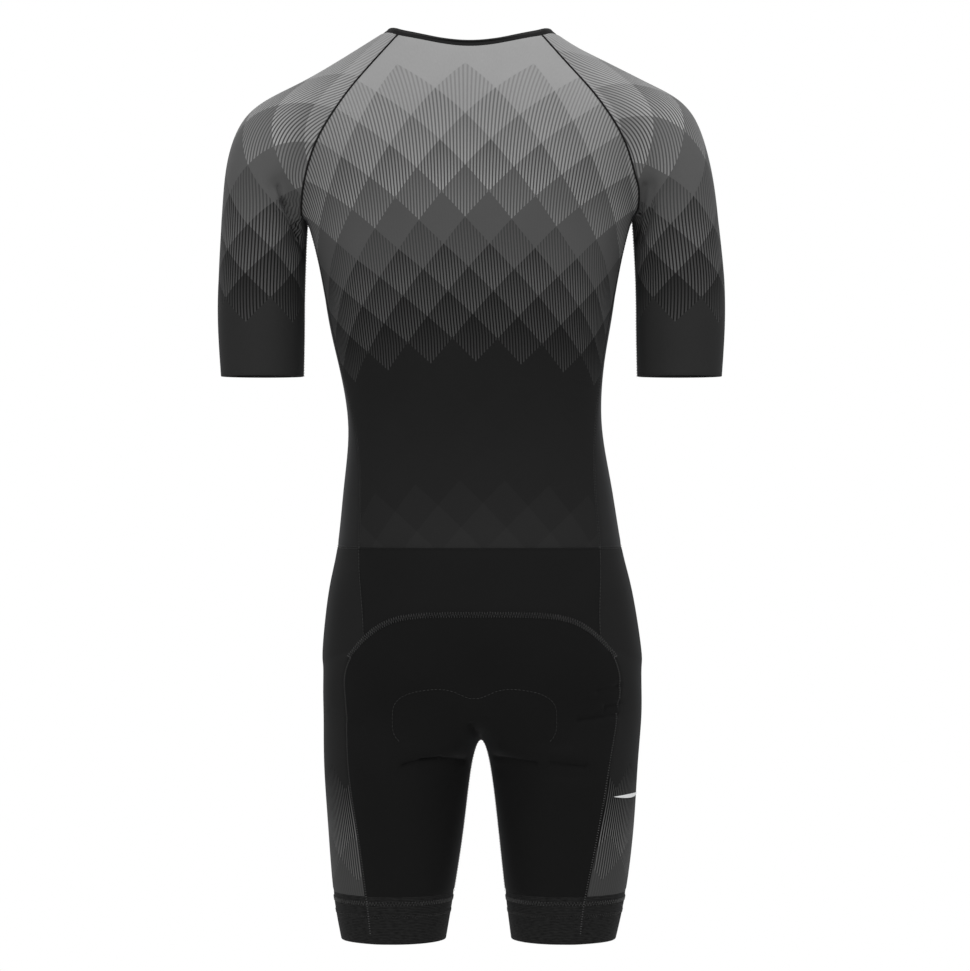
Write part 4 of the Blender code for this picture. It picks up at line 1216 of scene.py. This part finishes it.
pale_thread = thread("pale_grey_polyester_thread", "#5A5A5A")
grey_thread = thread("grey_polyester_thread", "#4E4E4E")
dim_thread = thread("dark_grey_polyester_thread", "#363636")
black_thread = thread("black_polyester_thread", "#161616")


# %% Parts of a sewing tree: stitches in a row, the looper thread between two rows, and a cord
Work = namedtuple("Work", "tree sizes curve tangent across out")


def evened(work, length):
    links = {"Curve": work.curve, "Length": length}
    return add_node(work.tree, "GeometryNodeResampleCurve", links, mode="LENGTH")


def moved(work, curve, aside):
    """The curve, moved this far across the seam and by the lift up off the cloth."""
    links = {0: work.across, "Scale": aside}
    move = add_node(work.tree, "ShaderNodeVectorMath", links, operation="SCALE")
    links = {0: work.out, "Scale": work.sizes["Lift"]}
    up = add_node(work.tree, "ShaderNodeVectorMath", links, operation="SCALE")
    both = add_node(work.tree, "ShaderNodeVectorMath", {0: move, 1: up}, operation="ADD")
    return add_node(work.tree, "GeometryNodeSetPosition", {"Geometry": curve, "Offset": both})


def stitches(work, place, way, size, share):
    """Short stitches, this many half widths across the line, along or across it."""
    tree, sizes = work.tree, work.sizes
    links = {0: sizes["Width"], 1: place / 2}
    aside = add_node(tree, "ShaderNodeMath", links, operation="MULTIPLY")
    points = moved(work, evened(work, sizes["Pitch"]), aside)
    bead = add_node(tree, "GeometryNodeMeshUVSphere", {"Segments": 6, "Rings": 4, "Radius": 0.5})
    long = add_node(tree, "ShaderNodeMath", {0: sizes[size], 1: share}, operation="MULTIPLY")
    links = {"X": sizes["Thread"], "Y": sizes["Thread"], "Z": long}
    scale = add_node(tree, "ShaderNodeCombineXYZ", links)
    links = {"Vector": getattr(work, way)}
    turn = add_node(tree, "FunctionNodeAlignRotationToVector", links, axis="Z")
    links = {"Points": points, "Instance": bead, "Rotation": turn, "Scale": scale}
    return add_node(tree, "GeometryNodeInstanceOnPoints", links)


def cord(work, curve, aside, sides, caps):
    """A round cord along the curve."""
    links = {0: work.sizes["Thread"], 1: 0.5}
    radius = add_node(work.tree, "ShaderNodeMath", links, operation="MULTIPLY")
    links = {"Resolution": sides, "Radius": radius}
    ring = add_node(work.tree, "GeometryNodeCurvePrimitiveCircle", links)
    links = {"Curve": moved(work, curve, aside), "Profile Curve": ring, "Fill Caps": caps}
    return add_node(work.tree, "GeometryNodeCurveToMesh", links)


def looper(work):
    """A thread that runs to and fro between the needle rows."""
    links = {0: work.sizes["Pitch"], 1: 0.5}
    half = add_node(work.tree, "ShaderNodeMath", links, operation="MULTIPLY")
    index = add_node(work.tree, "GeometryNodeInputIndex")
    odd = add_node(work.tree, "ShaderNodeMath", {0: index, 1: 2.0}, operation="MODULO")
    swing = add_node(work.tree, "ShaderNodeMath", {0: odd, 1: 0.5}, operation="SUBTRACT")
    links = {0: swing, 1: work.sizes["Width"]}
    aside = add_node(work.tree, "ShaderNodeMath", links, operation="MULTIPLY")
    return cord(work, evened(work, half), aside, 4, False)


def piping(work):
    return cord(work, work.curve, 0.0, 8, True)


# %% The trees
SIZES = {"Width": 0.0050, "Pitch": 0.0026, "Thread": 0.0005, "Lift": 0.0003}
ALONG, ACROSS = ("tangent", "Pitch", 0.7), ("across", "Width", 0.45)
TREES = {
    "flat seam": ((stitches, -1, *ALONG), (stitches, 1, *ALONG)),
    "single row": ((stitches, 0, *ALONG),),
    "ladder": ((stitches, 1.2, *ACROSS),),
    "zip coil": ((stitches, 0, *ACROSS),),
    "zigzag": ((looper,),),
    "piping": ((piping,),),
}


def sewing_tree(name, parts):
    """A tree with named sizes that turns a line into these parts, as one smooth mesh."""
    tree = bpy.data.node_groups.new(name, "GeometryNodeTree")
    tree.interface.new_socket("Line", in_out="INPUT", socket_type="NodeSocketGeometry")
    for key, value in SIZES.items():
        size = tree.interface.new_socket(key, in_out="INPUT", socket_type="NodeSocketFloat")
        size.default_value = value
    tree.interface.new_socket("Material", in_out="INPUT", socket_type="NodeSocketMaterial")
    tree.interface.new_socket("Sewing", in_out="OUTPUT", socket_type="NodeSocketGeometry")
    inputs = add_node(tree, "NodeGroupInput").node.outputs
    curve = add_node(tree, "GeometryNodeMeshToCurve", {"Mesh": inputs["Line"]})
    links = {"Name": "out"}
    out = add_node(tree, "GeometryNodeInputNamedAttribute", links, data_type="FLOAT_VECTOR")
    tangent = add_node(tree, "GeometryNodeInputTangent")
    links = {0: tangent, 1: out}
    cross = add_node(tree, "ShaderNodeVectorMath", links, operation="CROSS_PRODUCT")
    across = add_node(tree, "ShaderNodeVectorMath", {0: cross}, operation="NORMALIZE")
    work = Work(tree, inputs, curve, tangent, across, out)
    whole = add_node(tree, "GeometryNodeJoinGeometry")
    for part, *how in parts:
        tree.links.new(part(work, *how), whole.node.inputs[0])
    real = add_node(tree, "GeometryNodeRealizeInstances", {"Geometry": whole})
    links = {"Geometry": real, "Material": inputs["Material"]}
    coloured = add_node(tree, "GeometryNodeSetMaterial", links)
    smooth = add_node(tree, "GeometryNodeSetShadeSmooth", {"Geometry": coloured})
    add_node(tree, "NodeGroupOutput", {"Sewing": smooth})
    return tree


trees = {name: sewing_tree(name, parts) for name, parts in TREES.items()}
print("sewing trees:", ", ".join(trees))

# %% Every seam
Kind = namedtuple("Kind", "tree material sizes")
FLAT = {"Width": 0.0022, "Pitch": 0.0030, "Thread": 0.0003}
KINDS = {
    "arch": Kind("zigzag", pale_thread, {"Width": 0.0056, "Pitch": 0.0027, "Thread": 0.0008}),
    "ladder": Kind("ladder", pale_thread, {"Width": 0.0044, "Pitch": 0.0026, "Thread": 0.0006}),
    "light row": Kind("single row", dim_thread, {"Pitch": 0.0036, "Thread": 0.0006}),
    "flat": Kind("flat seam", dim_thread, FLAT),
    "black flat": Kind("flat seam", black_thread, FLAT),
    "zigzag": Kind("zigzag", grey_thread, {"Width": 0.0042, "Pitch": 0.0034, "Thread": 0.0005}),
    "fine zigzag": Kind("zigzag", dim_thread, {"Width": 0.0034, "Pitch": 0.0030, "Thread": 0.0003}),
    "row": Kind("single row", dim_thread, {"Pitch": 0.0040, "Thread": 0.0005}),
    "piping": Kind("piping", binding_knit, {"Thread": 0.0020, "Lift": -0.0001}),
}


def sewn(name, kind, points, normals):
    """A line that carries the cloth's outward direction, turned into sewing of this kind."""
    mesh = bpy.data.meshes.new(name)
    mesh.from_pydata(points.tolist(), [(k, k + 1) for k in range(len(points) - 1)], [])
    out = mesh.attributes.new("out", "FLOAT_VECTOR", "POINT")
    out.data.foreach_set("vector", normals.ravel())
    obj = placed(name, mesh)
    modifier = obj.modifiers.new("sewing", "NODES")
    modifier.node_group = trees[kind.tree]
    for item in modifier.node_group.interface.items_tree:
        if item.in_out == "INPUT" and item.name in kind.sizes:
            modifier[item.identifier] = kind.sizes[item.name]
        if item.in_out == "INPUT" and item.name == "Material":
            modifier[item.identifier] = kind.material
    made = baked(obj)
    obj.modifiers.clear()
    obj.data = made
    print(f"{name}: {len(made.polygons)} faces")
    return obj


for seam in SEAMS:
    obj = sewn(seam.name, KINDS[seam.kind], *seam_line(seam.stops))
    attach(obj, "suit")

# %% [markdown]
# A seat has a thin pad sewn inside it. Only what shows outside is made: one quiet row of stitches
# round the pad's edge, which has two lobes at the back and runs forward between the legs.

# %% The pad's stitched edge
PAD_X, PAD_Z, PAD_WIDTH, PAD_HEIGHT, PAD_CORNER = -0.005, -0.707, 0.084, 0.033, 0.6
PAD_DIP, PAD_DIP_WIDTH = 0.011, 0.020  # between its two lobes
PAD_FROM, PAD_TO, PAD_POINTS = -28, 208, 240  # degrees, 0 on the left and 90 at its top
BEHIND = 0.4  # where the rays that find the cloth start


def tree_of(obj):
    """The object's faces, for finding where a ray meets them."""
    mesh = obj.data
    return BVHTree.FromPolygons([v.co for v in mesh.vertices], [p.vertices[:] for p in mesh.polygons])


def rounded(angle, corner):
    """The cosine and sine of an oblong's corner, whose power makes it rounder or squarer."""
    pair = np.array([np.cos(angle), np.sin(angle)])
    return np.sign(pair) * np.abs(pair) ** corner


seat_faces = tree_of(panels["seat_panel"])
pad_edge = []
for turn in np.radians(np.linspace(PAD_FROM, PAD_TO, PAD_POINTS)):
    x, z = rounded(turn, PAD_CORNER) * (PAD_WIDTH, PAD_HEIGHT)
    z -= PAD_DIP * np.exp(-((x / PAD_DIP_WIDTH) ** 2))
    start = Vector((PAD_X + x, BEHIND, PAD_Z + z))
    hit, normal, _, _ = seat_faces.ray_cast(start, Vector((0, -1, 0)))
    pad_edge.append((*hit, *normal))
pad = sewn("pad_stitching", KINDS["row"], *np.hsplit(np.array(pad_edge), 2))
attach(pad, "suit")

# %% [markdown]
# ## The zip
#
# The centre front closes with a light coil zip: two woven tapes, a nylon coil whose bends show
# as a row of short bars, and a small cast slider with a flat pull. The slider's place and lean
# follow the joint that the pull swings on, so the finished parts stay where the frame has them.

# %% Tape material: a woven polyester tape with a fine herringbone
tape_weave = knit("woven_zip_tape", 0.82, "#121213", sheen=0.04, specular=0.06)
tree = tape_weave.node_tree
cloth = add_node(tree, "ShaderNodeUVMap", uv_map="cloth")
links = {"Vector": cloth, "Scale": 260.0, "Distortion": 1.5, "Detail": 0.0}
rib = add_node(tree, "ShaderNodeTexWave", links, bands_direction="DIAGONAL")
grain = tree.nodes["Bump"].outputs[0]
links = {"Height": rib, "Strength": 0.6, "Distance": 0.0001, "Normal": grain}
fill(tree.nodes["Principled BSDF"], {"Normal": add_node(tree, "ShaderNodeBump", links)})

# %% Tapes
TAPE, TAPE_SUNK = 0.0009, 0.0002
TAPE_COLUMNS = 5

zip_points, zip_normals = seam_line([(1, CENTRE_FRONT, 0), (1, CENTRE_FRONT, WAIST_ROW)])


def grid_faces(rows, columns):
    """The quads between the rows of a grid of points."""
    index = np.arange(rows * columns).reshape(rows, columns)
    faces = np.stack([index[:-1, :-1], index[:-1, 1:], index[1:, 1:], index[1:, :-1]], axis=-1)
    return faces.reshape(-1, 4)


for side in (1, -1):
    across = unit(np.cross(zip_normals, np.gradient(zip_points, axis=0)))
    across *= side * np.sign(across[:, :1])
    places = np.linspace(ZIP_MIDDLE / 2, ZIP_OPENING / 2 - FRAME_GAP, TAPE_COLUMNS)
    points = (zip_points[:, None] + across[:, None] * places[:, None]).reshape(-1, 3)
    normals = np.repeat(zip_normals, TAPE_COLUMNS, axis=0)
    faces = grid_faces(len(zip_points), TAPE_COLUMNS)[:, :: -1 if side > 0 else 1]
    down = lengths_along(zip_points)[:, None]
    cloth = np.stack(np.broadcast_arrays(places * side, down), axis=-1).reshape(-1, 2)[faces]
    name = f"zip_tape_{word(side)}"
    sizes = ({"cloth": cloth}, TAPE, [tape_weave])
    tape = wall(f"{name}_cloth", points - normals * TAPE_SUNK, normals, faces, *sizes, hems=False)
    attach(tape, "suit")
    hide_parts(name)

# %% The coil, as one tree along the centre line
nylon_values = {"Base Color": linear("#161617"), "Roughness": 0.38}
nylon, _ = new_material("black_nylon_coil", nylon_values)
COIL = {"Width": 0.0096, "Pitch": 0.0012, "Thread": 0.0010, "Lift": 0.0001}
teeth = sewn("zip_coil", Kind("zip coil", nylon, COIL), zip_points[2:], zip_normals[2:])
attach(teeth, "suit")

# %% [markdown]
# The slider is die cast, tumbled until its edges are round, and lacquered. Its body has a top
# plate that narrows towards the pull's end, a lower plate under the coil and a bail that the
# pull hangs on. The pull has a window for the bail and a ribbed grip. Each is a flat outline
# with rounded edges, which a filled curve makes in one step.

# %% Lacquered zinc
zinc_values = {"Metallic": 0.85, "Coat Weight": 0.4, "Coat Roughness": 0.18}
zinc, shader = new_material("dark_lacquered_zinc", zinc_values)
tree = zinc.node_tree
place = add_node(tree, "ShaderNodeTexCoord", out="Object")
cast = add_node(tree, "ShaderNodeTexNoise", {"Vector": place, "Scale": 900.0, "Detail": 3.0})
rough = add_node(tree, "ShaderNodeMapRange", {"Value": cast, "To Min": 0.28, "To Max": 0.46})
edge = add_node(tree, "ShaderNodeNewGeometry", out="Pointiness")
worn = add_node(tree, "ShaderNodeMapRange", {"Value": edge, "From Min": 0.52, "From Max": 0.62})
links = {"Factor": worn, 6: linear("#38383B"), 7: linear("#6E6E72")}
lacquer = add_node(tree, "ShaderNodeMix", links, out=2, data_type="RGBA")
grain = add_node(tree, "ShaderNodeBump", {"Height": cast, "Strength": 0.15, "Distance": 0.00005})
fill(shader, {"Roughness": rough, "Base Color": lacquer, "Normal": grain})


# %% Flat pieces with rounded edges
WELD, KEEN = 0.000005, radians(40)  # points this near are one, and a bend past this is an edge


def oblong(width, length, middle=0.0, narrow=1.0, corner=3.5, steps=40):
    """A rounded oblong about (0, middle). narrow is the far end's width as a share."""
    turns = np.linspace(0, 2 * np.pi, steps, endpoint=False)
    x, y = rounded(turns, 2 / corner) * np.array([[width / 2], [length / 2]])
    return np.stack([x * (1 + (narrow - 1) * (y / length + 0.5)), y + middle], axis=1)


def flat_piece(outlines, thickness, edge=0.0003):
    """A plate of this outline, less the outlines inside it, with rounded edges."""
    curve = bpy.data.curves.new("outline", "CURVE")
    curve.dimensions, curve.fill_mode = "2D", "BOTH"
    curve.extrude, curve.offset = thickness / 2 - edge, -edge
    curve.bevel_depth, curve.bevel_resolution = edge, 2
    for outline in outlines:
        spline = curve.splines.new("POLY")
        spline.points.add(len(outline) - 1)
        zero, one = np.zeros(len(outline)), np.ones(len(outline))
        spline.points.foreach_set("co", np.column_stack([outline, zero, one]).ravel())
        spline.use_cyclic_u = True
    obj = placed("outline", curve)
    mesh = baked(obj)
    bpy.data.objects.remove(obj)
    return mesh


def joined(name, parts, frame_of):
    """One object of several meshes, each in its own place in the zip's frame."""
    shape = bmesh.new()
    for mesh, turn in parts:
        mesh.transform(frame_of @ turn)
        shape.from_mesh(mesh)
    bmesh.ops.remove_doubles(shape, verts=shape.verts, dist=WELD)
    bmesh.ops.recalc_face_normals(shape, faces=shape.faces)
    mesh = bpy.data.meshes.new(name)
    shape.to_mesh(mesh)
    shape.free()
    mesh.materials.clear()
    mesh.materials.append(zinc)
    mesh.polygons.foreach_set("material_index", [0] * len(mesh.polygons))
    mesh.shade_smooth()
    mesh.set_sharp_from_angle(angle=KEEN)
    print(f"{name}: {len(mesh.polygons)} faces")
    return placed(name, mesh)


# %% Slider
ZIP_LEAN = radians(29.55)  # of the cloth under the slider, from upright
SLIDER_WIDTH, SLIDER_LENGTH, SLIDER_PLATE = 0.0082, 0.0105, 0.0022
PLATE = 0.0010  # wall of its two plates
NECK_WIDTH, NECK_LENGTH, NECK_AT = 0.0026, 0.0060, -0.0018
NECK_SHORT, NECK_EDGE = 0.0004, 0.0001  # it stops inside both plates
BAIL_WIDTH, BAIL_LENGTH, BAIL_HEIGHT, BAIL_EYE = 0.0022, 0.0042, 0.0030, 0.0020
BAIL_SUNK = 0.0002

swing_at = Vector(frame["record"]["behaviour"]["joints"][0]["pos_m"])
out = Vector((0, -cos(ZIP_LEAN), sin(ZIP_LEAN)))
down = Vector((0, -sin(ZIP_LEAN), -cos(ZIP_LEAN)))
axes = Matrix(np.array([down.cross(out), down, out]).T.tolist()).to_4x4()
axis_height = SLIDER_PLATE + BAIL_EYE / 2
bail_middle = SLIDER_PLATE + BAIL_HEIGHT / 2 - BAIL_SUNK
plate = oblong(SLIDER_WIDTH, SLIDER_LENGTH, narrow=0.66)
lower = oblong(SLIDER_WIDTH, SLIDER_LENGTH * 0.96, narrow=0.70)
neck = oblong(NECK_WIDTH, NECK_LENGTH, narrow=0.6)
arch = oblong(BAIL_HEIGHT + 2 * BAIL_SUNK, BAIL_LENGTH, corner=3.0)
eye = oblong(BAIL_EYE, BAIL_EYE, corner=2.6) - (axis_height - bail_middle, 0)
slider_parts = [
    (flat_piece([plate], PLATE), Matrix.Translation((0, 0, SLIDER_PLATE - PLATE / 2))),
    (flat_piece([lower], PLATE), Matrix.Translation((0, 0, PLATE / 2))),
    (
        flat_piece([neck], SLIDER_PLATE - NECK_SHORT, NECK_EDGE),
        Matrix.Translation((0, NECK_AT, SLIDER_PLATE / 2)),
    ),
    (
        flat_piece([arch, eye], BAIL_WIDTH),
        Matrix.Translation((0, 0, bail_middle)) @ Matrix.Rotation(radians(90), 4, "Y"),
    ),
]
slider_at = Matrix.Translation(swing_at - out * axis_height) @ axes
slider = joined("slider_body", slider_parts, slider_at)
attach(slider, "suit")
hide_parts("zip_slider")

# %% Pull
PULL_WIDTH, PULL_LENGTH, PULL_THICKNESS, PULL_BAR = 0.0062, 0.0240, 0.0012, 0.0011
PULL_THIN, RIDGE_THICK, RIDGE_WIDE = 0.8, 1.15, 0.62  # as shares of those
WINDOW_WIDTH, WINDOW_LENGTH = 0.0034, 0.0040
RIDGES, RIDGE, RIDGES_FROM, RIDGE_PITCH, RIDGE_EDGE = 6, 0.0008, 0.0098, 0.0020, 0.00025

tab = oblong(PULL_WIDTH, PULL_LENGTH, PULL_LENGTH / 2 - PULL_BAR / 2, narrow=0.86, corner=4.5)
window = oblong(WINDOW_WIDTH, WINDOW_LENGTH, PULL_BAR / 2 + WINDOW_LENGTH / 2, corner=5)
pull_parts = [(flat_piece([tab, window], PULL_THICKNESS * PULL_THIN), Matrix.Identity(4))]
for k in range(RIDGES):
    outline = oblong(PULL_WIDTH * RIDGE_WIDE, RIDGE, corner=3)
    ridge = flat_piece([outline], PULL_THICKNESS * RIDGE_THICK, RIDGE_EDGE)
    pull_parts.append((ridge, Matrix.Translation((0, RIDGES_FROM + k * RIDGE_PITCH, 0))))
pull = joined("pull_tab", pull_parts, Matrix.Translation(swing_at) @ axes)
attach(pull, "pull")
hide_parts("zip_pull")

# %% [markdown]
# ## The reflective tab
#
# A heat-bonded strip of silver transfer film, cut as a slim lens. It is glued on, so it follows
# the thigh and has hardly any thickness. Its glass beads make it bright and grainy.

# %% Film
film_values = {"Metallic": 0.35, "Roughness": 0.42, "Coat Weight": 0.3}
film, shader = new_material("reflective_transfer_film", film_values)
tree = film.node_tree
place = add_node(tree, "ShaderNodeTexCoord", out="Object")
beads = add_node(tree, "ShaderNodeTexVoronoi", {"Vector": place, "Scale": 2600.0})
tone = add_node(tree, "ShaderNodeMapRange", {"Value": beads, "To Min": 1.0, "To Max": 0.86})
links = {0: linear("#F2F3F4")[:3], 1: tone}
silver = add_node(tree, "ShaderNodeVectorMath", links, operation="MULTIPLY")
bump = add_node(tree, "ShaderNodeBump", {"Height": beads, "Strength": 0.3, "Distance": 0.00004})
fill(shader, {"Base Color": silver, "Normal": bump})

# %% The lens, laid on the right thigh
TAB_HEIGHT, TAB_THICKNESS, TAB_CLEAR = 0.0040, 0.0004, 0.0001
TAB_Z = -0.7876
TAB_FROM, TAB_TO = 54.0, 4.0  # degrees round the thigh, 0 at its outer side
TAB_COLUMNS, TAB_ROWS = 41, 5
TAB_UP = 0.25  # the share of its height that is above its line
TAB_TIP, TAB_BULGE = 0.25, 0.8  # of a column at its blunt tips, and how full the lens is
BESIDE = 0.2  # where the rays that find the cloth start

tab_middle = Vector(((LEG[0].middle - LEG[0].out) / 1000, LEG[0].y / 1000, TAB_Z))
thigh_faces = tree_of(panels["thigh_side_right"])
grid = []
for k, turn in enumerate(np.radians(np.linspace(TAB_FROM, TAB_TO, TAB_COLUMNS))):
    bulge = sin(np.pi * (k + TAB_TIP) / (TAB_COLUMNS - 2 * TAB_TIP)) ** TAB_BULGE
    way = Vector((-cos(turn), sin(turn), 0))
    for share in np.linspace(0, 1, TAB_ROWS):
        start = tab_middle + Vector((0, 0, TAB_HEIGHT * (TAB_UP - share) * bulge))
        hit, normal, _, _ = thigh_faces.ray_cast(start + way * BESIDE, -way)
        grid.append((*(hit + normal * (TAB_THICKNESS + TAB_CLEAR)), *normal))
points, normals = np.hsplit(np.array(grid), 2)
faces = grid_faces(TAB_COLUMNS, TAB_ROWS)[:, [0, 3, 2, 1]]
tab = wall("reflective_film", points, normals, faces, {}, TAB_THICKNESS, [film])
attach(tab, "suit")
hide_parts("reflective_tab")
